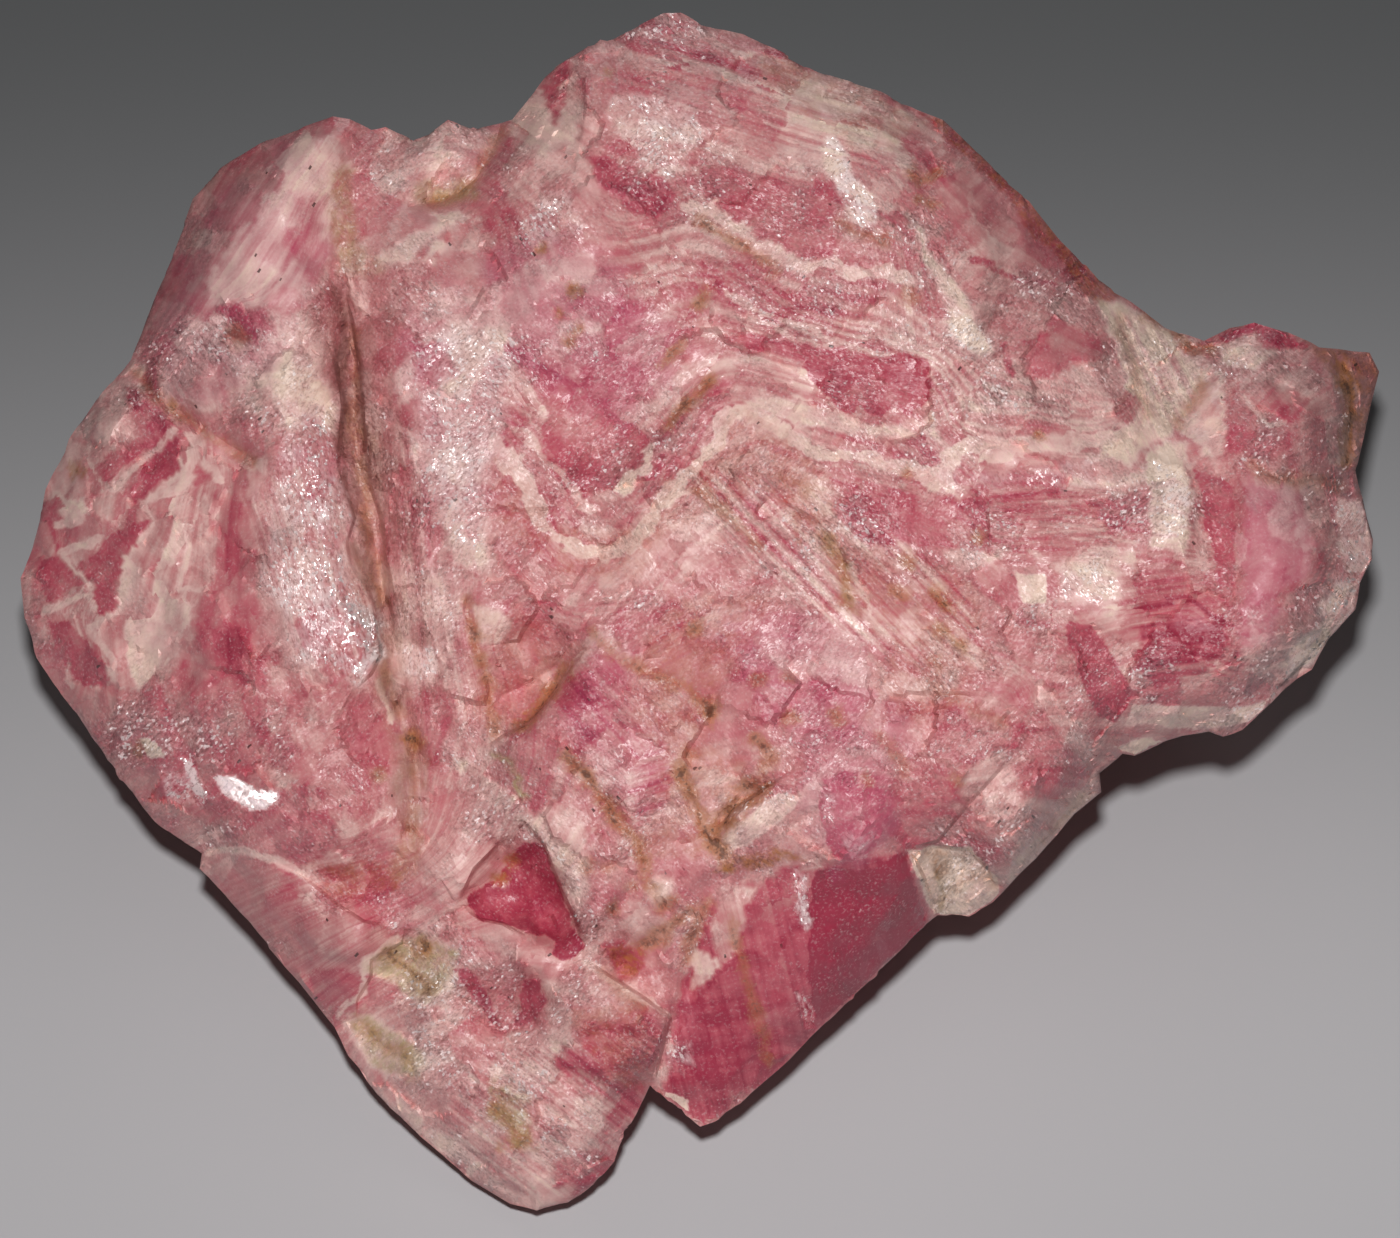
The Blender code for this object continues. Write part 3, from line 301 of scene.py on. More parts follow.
PATCHES: list[Patch] = [
    # weathered skin
    Patch("lobe rim crust", CRUST, 0.6, [(-47.4, 22.6), (-45.6, 30), (-43.2, 36), (-40, 40),
        (-36, 42), (-31.5, 43.4), (-31.6, 42.4), (-36, 40.8), (-39.4, 38.4), (-42.2, 35),
        (-44.4, 30), (-46.4, 23)], 0.6),
    Patch("shoulder rim crust", CRUST, 0.6, [(18, 43.2), (20.6, 42.4), (27.4, 36), (34, 28.8),
        (36.4, 27), (35.4, 26.4), (32.4, 28.8), (22.8, 39.2)], 0.5),
    Patch("rear corner crust", CRUST, 0.7, [(50.6, 23.4), (56.4, 22.8), (57.4, 20.6), (54.8, 12),
        (54, 14), (54.2, 18), (53, 20.4)], 0.4),
    # left lobe
    Patch("knob", TONE, -0.3, [(-23.4, 36.5), (-21.5, 40.5), (-18.6, 41.4), (-16.6, 40),
        (-17.6, 37.6), (-19.6, 35.6), (-22, 34.6)], 0.5),
    Patch("lobe flank skin", CRUST, 0.3, [(-47, 23), (-45, 30), (-42.6, 36), (-40, 38.4),
        (-36, 40.6), (-31.5, 42), (-34.8, 38.6), (-38.4, 33.2), (-42.6, 25.6)]),
    Patch("smooth lobe", PEARL, -0.45, [(-47, 23), (-45, 30), (-42.6, 36), (-36, 40.6), (-31, 41),
        (-29.6, 37), (-30.4, 32), (-34, 27), (-41, 26)], 1.5),
    Patch("lobe pale facet", TONE, -0.44, [(-41.5, 27), (-33.6, 39.4), (-31, 40.4), (-29.6, 37),
        (-30.4, 32), (-31.6, 28), (-34, 26), (-38, 26)]),
    Patch("lobe facet stripe", TONE, 0.0, [(-33.6, 36), (-32, 35.6), (-31.2, 31), (-32.6, 28.4),
        (-34.4, 31)]),
    Patch("lobe white facets", TONE, -0.4, [(-45.5, 21), (-43, 25), (-38.5, 27.4), (-33.6, 26),
        (-31, 23), (-30.4, 18), (-33, 16.4), (-37, 16), (-40, 17.6), (-44, 18.6)]),
    Patch("lobe rose mottle", TONE, 0.35, [(-42.4, 26.4), (-39, 25.6), (-36.4, 25.8), (-35, 23.4),
        (-37.4, 22.6), (-40, 24)]),
    Patch("lobe cream wedge", TONE, -0.75, [(-34.4, 22.8), (-30.2, 19.4), (-29.8, 15.4),
        (-32, 16.6), (-35.6, 20.4)]),
    Patch("shoulder cream", TONE, -0.35, [(-50.5, 18.8), (-47.4, 22), (-46.6, 19.6), (-44.6, 17),
        (-45.6, 15), (-48.4, 14.6), (-52, 15)]),
    Patch("shoulder rose stripe", TONE, 0.5, [(-46.6, 20.6), (-45.4, 17.6), (-43.6, 15.4),
        (-44.2, 14.6), (-47.4, 19.8)]),
    Patch("zigzag cream zone", TONE, -0.26, [(-44.1, 15.5), (-44, 13.8), (-42.9, 12.5),
        (-46.4, 9.6), (-45.5, 8.1), (-47.9, 5.3), (-48.1, 1.2), (-51, -0.6), (-48.9, -3.8),
        (-49.3, -4.8), (-48.6, -6.2), (-46, -6), (-43.5, -4), (-41.6, -1), (-40.4, 3), (-40.8, 8),
        (-40.2, 11.7), (-38.6, 13.6), (-41, 15.6)], 0.25),
    Patch("zigzag rose one", TONE, 0.42, [(-50.5, 12.5), (-49.3, 13.8), (-46.4, 15.5),
        (-45.7, 14.8), (-49.3, 11.2), (-50.2, 11.7)], crisp=True),
    Patch("zigzag rose two", TONE, 0.6, [(-48.3, 10.3), (-44.5, 14.8), (-43.6, 15), (-42.9, 12.5),
        (-46.9, 9.8)], crisp=True),
    Patch("zigzag rose three", TONE, 0.55, [(-49.6, 6.7), (-45.5, 8.8), (-45.3, 8.1), (-46.7, 6.9),
        (-46.4, 6.2), (-47.9, 5.3), (-47.8, 4.1), (-48.3, 3.4), (-48.1, 1.4), (-50, 0.2),
        (-51.2, 3.6), (-52.2, 4.6), (-50.5, 5.5)], crisp=True),
    Patch("zigzag rose four", TONE, 0.46, [(-54.9, 4.8), (-53.4, 5.5), (-51.2, 3.8), (-51.5, 2.9),
        (-54.6, 1), (-55.1, 2.8)], crisp=True),
    Patch("zigzag rose five", TONE, 0.5, [(-54.3, -0.3), (-52.5, -0.3), (-49.6, -3.8),
        (-49.3, -5.5), (-51.2, -5.5), (-54.1, -2.4)], crisp=True),
    Patch("outer rose", TONE, 0.4, [(-55, 9.8), (-53.6, 10.6), (-52.6, 9.6), (-53.2, 8.6),
        (-55, 8)], crisp=True),
    Patch("outer pale blob", TONE, -0.85, [(-53.4, 9.9), (-51.6, 10.3), (-50.8, 9),
        (-52.2, 8.3)], 0.4),
    Patch("rose tooth", TONE, 0.3, [(-42.4, 12.5), (-41.6, 13), (-40.2, 11.9), (-41.6, 11),
        (-42.9, 11)], crisp=True),
    Patch("orange rose field", TONE, 0.3, [(-40.4, 10), (-38, 9.4), (-36.6, 6.6), (-37, 2),
        (-35.4, -1), (-35.6, -4.6), (-38, -5.6), (-41, -4), (-42, -0.6), (-41.8, 1.6), (-40.4, 3)]),
    Patch("red below the flake", TONE, 0.52, [(-41, -1), (-37, -0.6), (-34.8, -2), (-35.4, -6.6),
        (-37, -7), (-38.4, -5), (-40.6, -3.4)]),
    Patch("smooth zigzag", PEARL, -0.55, [(-55.4, 14), (-47, 18), (-40, 15), (-36.8, 4),
        (-36.4, -2), (-38, -6), (-46, -8), (-55, -6)], 1.5),
    Patch("silver flake haze", PEARL, 0.42, [(-38, 9.2), (-36.4, 13), (-34, 17), (-31, 18.6),
        (-30, 14), (-29.8, 10.6), (-29, 8.4), (-29.2, 5.4), (-27, 1.6), (-26.4, -1), (-26.6, -4),
        (-28.6, -5.8), (-34.4, -3.4), (-34.4, 0.6), (-35.8, 3), (-36.4, 6)], 0.9),
    Patch("silver flake shine north", PEARL, 0.95, [(-36.1, 11.7), (-32.7, 13.1), (-30.6, 11.7),
        (-31.3, 8.6), (-33, 7.9), (-35.7, 8.9)], 0.8),
    Patch("silver flake shine middle", PEARL, 0.95, [(-34.4, 6.2), (-32, 6.9), (-29.2, 4.8),
        (-29.6, 2.1), (-32.7, -0.7), (-34.7, 1.4), (-35.4, 3.8)], 0.8),
    Patch("silver flake shine south", PEARL, 0.9, [(-32.7, -0.7), (-29.2, 2.1), (-26.9, 0),
        (-26.7, -3.4), (-28.9, -5.6), (-30.6, -3.7), (-34, -3.4)], 0.6),
    Patch("rose under the flake", TONE, 0.3, [(-34, -5), (-30, -5.4), (-26, -7.6), (-24.6, -10),
        (-25.4, -13), (-28, -16), (-34, -15), (-36, -11), (-37, -7)]),
    Patch("left flank rose", TONE, 0.25, [(-45, -12.4), (-42, -10), (-38, -9.6), (-36, -12),
        (-35.4, -15), (-38, -16.6), (-42, -17), (-44.6, -15.6)]),
    Patch("left flank shine", PEARL, 0.8, [(-45, -12.6), (-42, -12.6), (-40, -14.6),
        (-41.6, -15.4), (-44, -14.6)], 0.5),
    Patch("mirror facet", PEARL, 2.0, [(-40.6, -12.8), (-38.6, -13.1), (-36.9, -14.1),
        (-35, -14.5), (-35.3, -15.3), (-36.6, -15.9), (-38.6, -15.3), (-39.8, -14.4)], 0.15),
    Patch("mirror streak", PEARL, 1.7, [(-43.4, -11.4), (-42.6, -11.5), (-41, -14.6),
        (-41.9, -14.4)], 0.15),
    Patch("cream spot", TONE, -0.95, [(-46.8, -9.8), (-45.2, -9.9), (-44.7, -11.4),
        (-46, -11.7)], crisp=True),
    # lower left
    Patch("slab", TONE, 0.14, [(-42, -20.6), (-40, -19), (-36, -19.8), (-30, -24.2),
        (-25.2, -26.4), (-28, -28.6), (-28.2, -31), (-30, -34), (-33, -32)]),
    Patch("dark recess", TONE, 0.6, [(-32.6, -21), (-30.4, -20.4), (-27, -20.6), (-25, -21.6),
        (-25.4, -24), (-28, -24.6), (-30.6, -23.6)]),
    Patch("dark recess brown", STAIN, 0.45, [(-32.6, -20.6), (-27, -19.8), (-24.6, -20.6),
        (-25.4, -23), (-28, -24), (-30.6, -22.6)], 1.0),
    Patch("green pocket pale", TONE, -0.5, [(-28.4, -28.4), (-25, -26.6), (-22.4, -26.2),
        (-20.4, -27.2), (-20.4, -29.8), (-21.4, -33), (-27.6, -29.8)], 0.5),
    Patch("green pocket", OLIVE, 0.8, [(-28, -28.4), (-25, -26.8), (-22.4, -26.6), (-20.6, -27.6),
        (-20.8, -29.4), (-22.4, -31.4), (-25, -31), (-27.6, -29.8)], 0.6),
    Patch("lower pocket pale", TONE, -0.5, [(-29.8, -33), (-27.6, -32.4), (-22.8, -35.8),
        (-22.8, -38), (-25, -39), (-27.6, -37.4), (-29.2, -35)], 0.5),
    Patch("lower pocket", OLIVE, 0.7, [(-29.4, -33), (-27.6, -32.6), (-23, -36), (-23, -38),
        (-25, -38.6), (-27.6, -37)], 0.6),
    # front tip
    Patch("tip pale body", TONE, -0.2, [(-26, -38), (-22, -33), (-13, -36), (-10, -39), (-6, -42),
        (-7, -46), (-12, -50), (-18, -48), (-24, -43)], 1.4),
    Patch("tip olive stain", OLIVE, 0.75, [(-17.6, -38.4), (-15.4, -38.8), (-13.8, -41.6),
        (-13.8, -44.6), (-18, -41)], 0.8),
    Patch("tip pale rim", TONE, -0.45, [(-27, -39), (-17.6, -45.2), (-9.6, -48), (-13.6, -50),
        (-19, -47.4), (-24, -43.2)], 0.8),
    Patch("tip rose east", TONE, 0.42, [(-12, -36.4), (-9, -33), (-6, -32), (-3.4, -33.6),
        (-5, -41.4), (-10.6, -38.4)]),
    Patch("tip rose end", TONE, 0.35, [(-9.4, -44.6), (-7, -45.2), (-8.6, -47.4), (-11, -47.8),
        (-12, -46)]),
    Patch("smooth slab", PEARL, -0.45, [(-42, -20.6), (-36, -19.8), (-30, -24.2), (-25.2, -26.4),
        (-30, -34), (-36, -28)], 1.2),
    # rose window
    Patch("smooth window", PEARL, -0.6, [(-21, -21), (-15.4, -17.6), (-12.4, -19), (-9.4, -27.6),
        (-12, -30), (-20, -26)], 0.8),
    Patch("window deep", TONE, 0.88, [(-19.8, -23.4), (-17, -21.6), (-14.8, -18.4), (-13.2, -18.4),
        (-9.8, -27), (-10.6, -28.6), (-12.4, -28), (-12, -26.8), (-18.2, -25)], crisp=True),
    Patch("window slot west", TONE, 0.75, [(-20.6, -29.2), (-19.2, -28.8), (-17.8, -31),
        (-16.6, -34.4), (-17.8, -33.4)], crisp=True),
    Patch("window slot east", TONE, 0.78, [(-14.8, -30.2), (-13.4, -29.8), (-12.6, -32),
        (-13.8, -33.6), (-15.4, -34.2)], crisp=True),
    Patch("frond", TONE, -0.35, [(-12.8, -30), (-11.6, -29.8), (-10.6, -32.6), (-11, -35.4),
        (-12.4, -36.4)], 0.35),
    Patch("pale wedge block", TONE, -0.38, [(-15.4, -16.6), (-10, -15.2), (-9, -23), (-10, -24.6),
        (-13.4, -18.4)], 0.5),
    # red face
    Patch("red face", TONE, 0.62, [(0.4, -24), (4, -21.6), (9, -21), (17, -19.2), (19, -25.6),
        (9, -36), (1, -43), (-3, -39)], 0.5),
    Patch("red face deepest", TONE, 1.08, [(9.4, -20.8), (13, -21), (17, -19.4), (19, -25.8),
        (11, -33.2), (9.6, -33.4), (8.8, -30)], crisp=True),
    Patch("red face pale corner", TONE, -0.1, [(0.6, -26), (1.4, -22.4), (4.6, -22), (3.4, -26),
        (1.4, -29.4)], 0.5),
    Patch("red face white corner", TONE, -0.55, [(-0.8, -27.4), (1, -28), (1.3, -30.4),
        (-0.6, -31.4)], 0.5),
    Patch("smooth red face", PEARL, -0.5, [(0.4, -24), (4, -21.6), (9, -21), (17, -19.2),
        (19, -25.6), (9, -36), (1, -43), (-3, -39)], 1.0),
    Patch("red face streak north", PEARL, 0.75, [(7.4, -21), (9, -21.4), (9.3, -24.6),
        (8.4, -26.4)], 0.4),
    Patch("red face streak south", PEARL, 0.75, [(7.8, -31), (8.8, -31.4), (9.6, -34),
        (8.4, -34.4)], 0.4),
    Patch("red face grey shine", PEARL, 0.5, [(-3.2, -35.4), (-0.6, -35), (-0.2, -37.4),
        (-2.8, -37.4)], 0.8),
    Patch("notch cream lip", TONE, -0.9, [(-3.4, -39.2), (-1, -39.8), (-0.2, -42.4),
        (-2.2, -41.4)], crisp=True),
    # lower right
    Patch("white pocket", TONE, -0.8, [(17.2, -19.2), (19.6, -18.8), (22.6, -19), (24.6, -21.4),
        (25, -23.4), (22.6, -25.2), (19.6, -25.2)], crisp=True),
    Patch("white pocket brown", STAIN, 0.7, [(18.8, -19.3), (20.6, -19.3), (20.2, -21.6),
        (19.4, -21.4)], 0.4),
    Patch("rose crystal", TONE, 0.46, [(10, -13.4), (12.4, -12.8), (14.6, -14), (15.6, -15.4),
        (15.2, -18.4), (12.6, -20.8), (10.4, -18.8), (9.8, -16)], crisp=True),
    Patch("rose crystal shine", PEARL, 0.9, [(10.3, -14.4), (11.3, -14.6), (10.9, -17.2),
        (9.9, -16.8)], 0.3),
    Patch("rose crystal glitter", PEARL, 0.5, [(11.6, -17.6), (14.6, -17.6), (12.8, -20.8)], 0.5),
    Patch("terrace rose", TONE, 0.36, [(16, -15.6), (19, -15.2), (22, -16.4), (25, -19.6),
        (23.4, -20.8), (20.2, -18.8), (17, -18.8), (15.4, -17)], 0.5),
    Patch("lower rim cream", TONE, -0.42, [(26, -19.6), (29, -17.2), (33, -12.4), (34, -14.4),
        (31, -17), (28, -21), (25, -24)], 0.5),
    Patch("rose block", TONE, 0.42, [(26, -8.4), (29, -8), (32, -12.6), (30, -15), (26.8, -14.6),
        (25, -12)], 0.6),
    Patch("dark rhomb", TONE, 0.62, [(30.4, -0.2), (32.6, -0.6), (34.6, -3), (36, -6.4),
        (34.6, -8.6), (33, -8), (30.8, -2.6)], crisp=True),
    Patch("sparkling block", TONE, -0.3, [(29.8, 4.4), (33.4, 5), (35, 3), (34.8, 0), (33, 0.4),
        (30.2, 0.2)], 0.4),
    Patch("sparkling block shine", PEARL, 0.75, [(30, 4.2), (33.4, 4.8), (34.8, 3), (33, 1.4),
        (30.4, 1.4)], 0.6),
    Patch("square crystal", TONE, -0.8, [(26.4, 4), (29, 3.8), (28.8, 1), (26.6, 1.2)], crisp=True),
    Patch("dark panel", TONE, 0.56, [(12, 10.6), (24, 9.9), (24.2, 5.4), (14, 6.4), (11, 9)], 0.45),
    Patch("striped panel", TONE, 0.18, [(24.3, 10), (28, 11.2), (33, 9.8), (34.6, 8), (34.4, 5.6),
        (26, 4.4), (24.3, 5.6)], 0.4),
    Patch("east glitter", PEARL, 0.4, [(20, 12.4), (33, 13.4), (36, 11), (33, 10.6), (26, 11.4),
        (21, 10.8)], 1.2),
    # right block
    Patch("white column", TONE, -0.75, [(37.6, 14.6), (40.4, 14.8), (41, 7), (40, 5.6), (37.6, 6),
        (37, 9)], 0.5),
    Patch("white column shine", PEARL, 0.85, [(38, 14), (40.2, 14), (40.6, 7), (38.4, 6.4)], 0.6),
    Patch("dark strip", TONE, 0.5, [(41, 12.6), (44.4, 11.4), (44.8, 1), (43.6, 1)], crisp=True),
    Patch("strip pale flake", TONE, -0.25, [(41.2, 9.4), (42, 7.4), (42.2, 4.6),
        (41.2, 5)], crisp=True),
    Patch("banded foot", TONE, 0.22, [(35, 4.6), (41, 4.6), (43.4, 2.6), (43.4, 0), (38, -0.4),
        (35.2, 0)], 0.5),
    Patch("vivid rose", TONE, 0.66, [(37, -1), (43.6, 0), (43.8, -2.6), (42, -4.6), (38, -5.4),
        (36.4, -4)], 0.4),
    Patch("cream lower rim", TONE, -0.55, [(36, -7), (44, -7.4), (47.8, -6.4), (46, -8.6),
        (43.4, -9), (35.4, -8.8)], crisp=True),
    Patch("white lump", TONE, -0.8, [(34.6, -10.6), (37, -9.8), (38.8, -10.2),
        (36.4, -11.8)], crisp=True),
    Patch("smooth panel gloss", PEARL, -0.6, [(45, 12), (47.4, 12.4), (50, 10.4), (50.8, 8),
        (49.6, 1), (45, -3)], 0.6),
    Patch("white rough rim", TONE, -0.45, [(53.4, 10), (55.4, 9.6), (56.6, 6), (56, 4), (54, 4),
        (53, 6.4)], 0.4),
    Patch("pale lower edge", TONE, -0.4, [(55.4, 3), (54.8, 0), (51, -5), (48, -4), (51.4, 0),
        (53, 3)], 0.6),
    Patch("rose over the panel", TONE, 0.34, [(43.6, 18.6), (47.4, 20), (49, 17.4), (49.4, 14.4),
        (46, 13.4), (43.6, 14.4)], 0.6),
    Patch("cream crest right", TONE, -0.6, [(43, 23.2), (45.4, 23.8), (48, 22.4), (46, 20.6),
        (43.6, 20.8)], 0.5),
    Patch("cream junction", TONE, -0.6, [(38, 21), (41, 22), (43.4, 20), (44, 17), (43.8, 13.8),
        (42, 13.6), (40, 16)], 0.5),
    Patch("rear corner brown", STAIN, 0.42, [(50.6, 23.2), (56, 22.6), (57, 20.6), (54.6, 12),
        (54, 14), (54.2, 18), (53, 20.4)], 0.4),
    Patch("rear crest", TONE, 0.6, [(42.6, 23.9), (46, 25), (49, 24.2), (51.6, 22.6), (48.4, 22.8),
        (46, 24), (44, 23.3)], 0.3),
    # right shoulder
    Patch("weathered rim", STAIN, 0.55, WEATHERED_RIM, 0.5),
    Patch("weathered rim rose", TONE, 0.45, WEATHERED_RIM, 0.5),
    Patch("smooth peach face", PEARL, -0.5, [(19, 37), (22, 38), (25, 35.6), (30.6, 28.6),
        (28, 29.4), (24, 26)], 1.2),
    Patch("white ridge", TONE, -0.75, [(17.4, 33.6), (24.6, 22.6), (23, 22), (21, 23.8),
        (18, 31)], 0.5),
    Patch("white ridge shine", PEARL, 0.6, [(20.6, 25.6), (22.8, 25.2), (24.4, 22.8), (23, 21.8),
        (21, 23.4)], 0.6),
    Patch("fibre cream", TONE, -0.78, [(33.6, 26.4), (39.8, 23.2), (41.8, 20), (40, 17), (36, 13),
        (34, 14), (36, 18)], 0.7),
    # crown
    Patch("crown tan bands", TONE, -0.32, CROWN_BANDS),
    Patch("crown tan tint", OLIVE, 0.22, CROWN_BANDS, 1.4),
    Patch("crown west face", TONE, -0.4, [(-14.8, 43), (-10, 45.6), (-10.4, 42), (-12, 38.6),
        (-15, 38), (-16.4, 40)]),
    Patch("crown west rose", TONE, 0.5, [(-13.2, 45), (-11.4, 46.8), (-11.6, 43),
        (-12.4, 41.2)], 0.4),
    Patch("cream flake", TONE, -0.34, CREAM_FLAKE, 0.6),
    Patch("cream flake shine", PEARL, 0.5, CREAM_FLAKE, 0.6),
    Patch("rose under the flake north", TONE, 0.56, [(-9.4, 38.4), (-3.4, 36.9), (-1.8, 35.4),
        (-3.6, 33.4), (-6, 34), (-8.4, 36.4)], 0.5),
    Patch("rose bands north", TONE, 0.42, [(0.2, 38), (4, 37.4), (11.2, 35.2), (11.3, 29.6),
        (9.4, 29.6), (3.4, 32.6), (0.2, 35)], crisp=True),
    Patch("pearly flake", PEARL, 0.9, PEARLY_FLAKE, 0.4),
    Patch("pearly flake pale", TONE, -0.45, PEARLY_FLAKE, 0.6),
    Patch("rose bands middle", TONE, 0.36, [(1, 29.6), (5, 29), (12, 25), (6, 24.4), (2, 26),
        (0, 28)]),
    Patch("rose bands south", TONE, 0.42, [(2.6, 23.6), (6, 24), (12.4, 21), (9, 20), (5, 21.4)]),
    Patch("deep rose stair", TONE, 0.6, [(8.4, 23.2), (19.2, 21.6), (19.4, 17.8), (18.2, 17.6),
        (17.6, 16.9), (16.4, 17.5), (15.2, 16.8), (13, 17.8), (12.4, 16.9), (8.8, 20)], crisp=True),
    Patch("cream stair", TONE, -0.5, [(3.4, 18), (8, 18.4), (10, 17.2), (16, 16.2), (19.6, 17),
        (19.8, 15), (14, 15.2), (4, 17)], 0.3),
    # middle
    Patch("dark facet", TONE, 0.46, [(-16.2, 22.4), (-5.4, 16.2), (-4, 14.6), (-9, 10),
        (-10.4, 11), (-13.4, 15.4), (-12.6, 17)], crisp=True),
    Patch("west pale band", TONE, -0.6, [(-26, 29), (-24, 28.6), (-18, 34), (-20, 34.4),
        (-23, 31.8), (-25.6, 30.4)]),
    Patch("west sparkle pale", TONE, -0.42, [(-25, 20), (-21, 24.6), (-17, 25), (-14.6, 22),
        (-17.6, 10), (-18, 5), (-21, 6), (-22.6, 12), (-24.6, 16)], 1.2),
    Patch("west sparkle", PEARL, 0.6, [(-24.6, 20), (-21, 24), (-17, 24.6), (-15.4, 22),
        (-17.4, 13), (-18, 6), (-20.6, 7), (-21.8, 12), (-24, 16)], 1.2),
    Patch("west rose mottle", TONE, 0.38, [(-23.8, 23), (-21, 22), (-20.4, 20), (-23, 19.4)], 0.8),
    Patch("north sparkle", PEARL, 0.5, [(-15, 34.6), (-10, 35), (-9, 32.6), (-13, 31),
        (-15, 32)], 0.9),
    Patch("grainy pale", TONE, -0.4, [(-26, 4), (-22, 4), (-20, 2), (-20, -3), (-22, -5.6),
        (-25, -5.6), (-26, -2)]),
    Patch("grainy shine", PEARL, 0.75, [(-24.8, -2.2), (-22.4, -2.2), (-22.2, -4.8),
        (-24.6, -5)], 0.6),
    Patch("pale lump", TONE, -0.6, [(-19, 1), (-17, 1), (-15.6, -0.6), (-16.4, -2.4),
        (-18.6, -2)], 0.35),
    Patch("striated block", TONE, 0.3, [(-9.4, -3), (-7, -3.4), (-4, -10.6), (-5.6, -12.6),
        (-9, -10.6), (-11.8, -7), (-11, -5)], 0.4),
    Patch("rose rungs", TONE, 0.42, [(-4.6, -11), (-3, -10.4), (-2.4, -13), (-3.4, -16),
        (-5.4, -17), (-5.8, -13.6)], 0.4),
    Patch("pale beam", TONE, -0.5, [(1.4, -18), (6.6, -14.4), (8.6, -14.6), (7, -16.8), (4, -19),
        (2, -19.4)], crisp=True),
    # painted shadow under the overhang above the red face, laid as a brown stain
    Patch("brown slot", STAIN, 0.95, [(0.6, -21.4), (8.8, -20.1), (6, -19.3), (3, -19.9)], 0.35),
    Patch("fan stain wash", STAIN, 0.42, [(4.3, 12.6), (9.1, 13.8), (12.3, 7.4), (13.9, 1),
        (11.9, 0.6), (9.9, 5.8), (5.9, 9.4)], 0.8),
    Patch("fan shine", PEARL, 0.35, [(9, 10), (13, 8.4), (20, 3), (18, 1), (12, 6)], 1.2),
    Patch("U band wash", STAIN, 0.26, [(-17, 14), (-12, 8), (-6, 8), (-1, 13), (3, 18), (8, 14),
        (4, 10), (-2, 7), (-6, 3), (-12, 3), (-17, 8)], 1.0),
    Patch("middle wash", STAIN, 0.3, [(-2, 2), (6, 2), (0, -10), (4, -14), (1, -20), (-6, -20),
        (-4, -12), (-6, -4)], 1.2),
    Patch("fan wash", STAIN, 0.24, [(10, 8), (22, 4), (24, -4), (20, -9), (14, -8), (16, -2),
        (11, 3)], 1.0),
    Patch("tip wash", STAIN, 0.3, [(-11, -33), (-7, -31), (-4, -34), (-5, -39), (-8, -38)], 0.8),
    Patch("block wash", STAIN, 0.2, [(-19, 1), (-14, 0), (-10, -3), (-16, -10), (-19, -8)], 1.0),
    Patch("cool lobe", COOL, 0.7, [(-46, 24), (-42, 34), (-34, 40), (-30, 38), (-31, 30),
        (-36, 20), (-44, 18)], 2.0),
    Patch("cool panel", COOL, 0.9, [(45, 12), (50, 10.4), (50.4, 4), (47, -1.6), (45, -3)], 1.0),
    Patch("smooth strip", PEARL, -0.35, [(41, 12.6), (44.4, 11.4), (44.8, 1), (43.6, 1)], 0.5),
    Patch("smooth fibres", PEARL, -0.3, [(33.6, 26.4), (39.8, 23.2), (44, 18), (42, 13), (36, 13),
        (34, 18)], 1.0),
    Patch("rim light", PEARL, 0.5, [(53.4, 10), (55.4, 9.6), (57.4, 6), (57, 1), (52.6, -7),
        (46, -9), (44, -7), (48, -4.6), (52, 0), (53.4, 4)], 1.0),
    Patch("cool crown", COOL, 0.8, [(-18, 30), (-14, 33), (-8, 30), (-2, 24), (-2, 19), (-6, 15),
        (-12, 18), (-16, 22)], 2.0),
    Patch("cool middle", COOL, 0.9, [(2, 2), (8, 0), (14, -3), (18, -8), (17, -13), (9, -12),
        (0, -2)], 2.5),
    Patch("cool crystal", COOL, 0.9, [(8.5, -12), (15, -12.6), (17, -17), (12.6, -21.4),
        (8.4, -18)], 1.5),
    Patch("cool block", COOL, 0.6, [(-10, -2), (-6, -2), (-2, -10), (-3, -17), (-6, -16),
        (-11, -9)], 1.5),
    Patch("cool west", COOL, 0.6, [(-25, 26), (-20, 28), (-15, 24), (-16, 14), (-19, 6), (-23, 10),
        (-25, 18)], 2.0),
    Patch("brown pit", STAIN, 0.9, [(-7.6, -27.6), (-5.2, -27), (-4.8, -29.2), (-6.4, -29.8)], 0.5),
    Patch("brown pit rose", TONE, 0.65, [(-8, -27.4), (-5, -26.8), (-4.6, -29.2),
        (-6.6, -30)], 0.5),
]

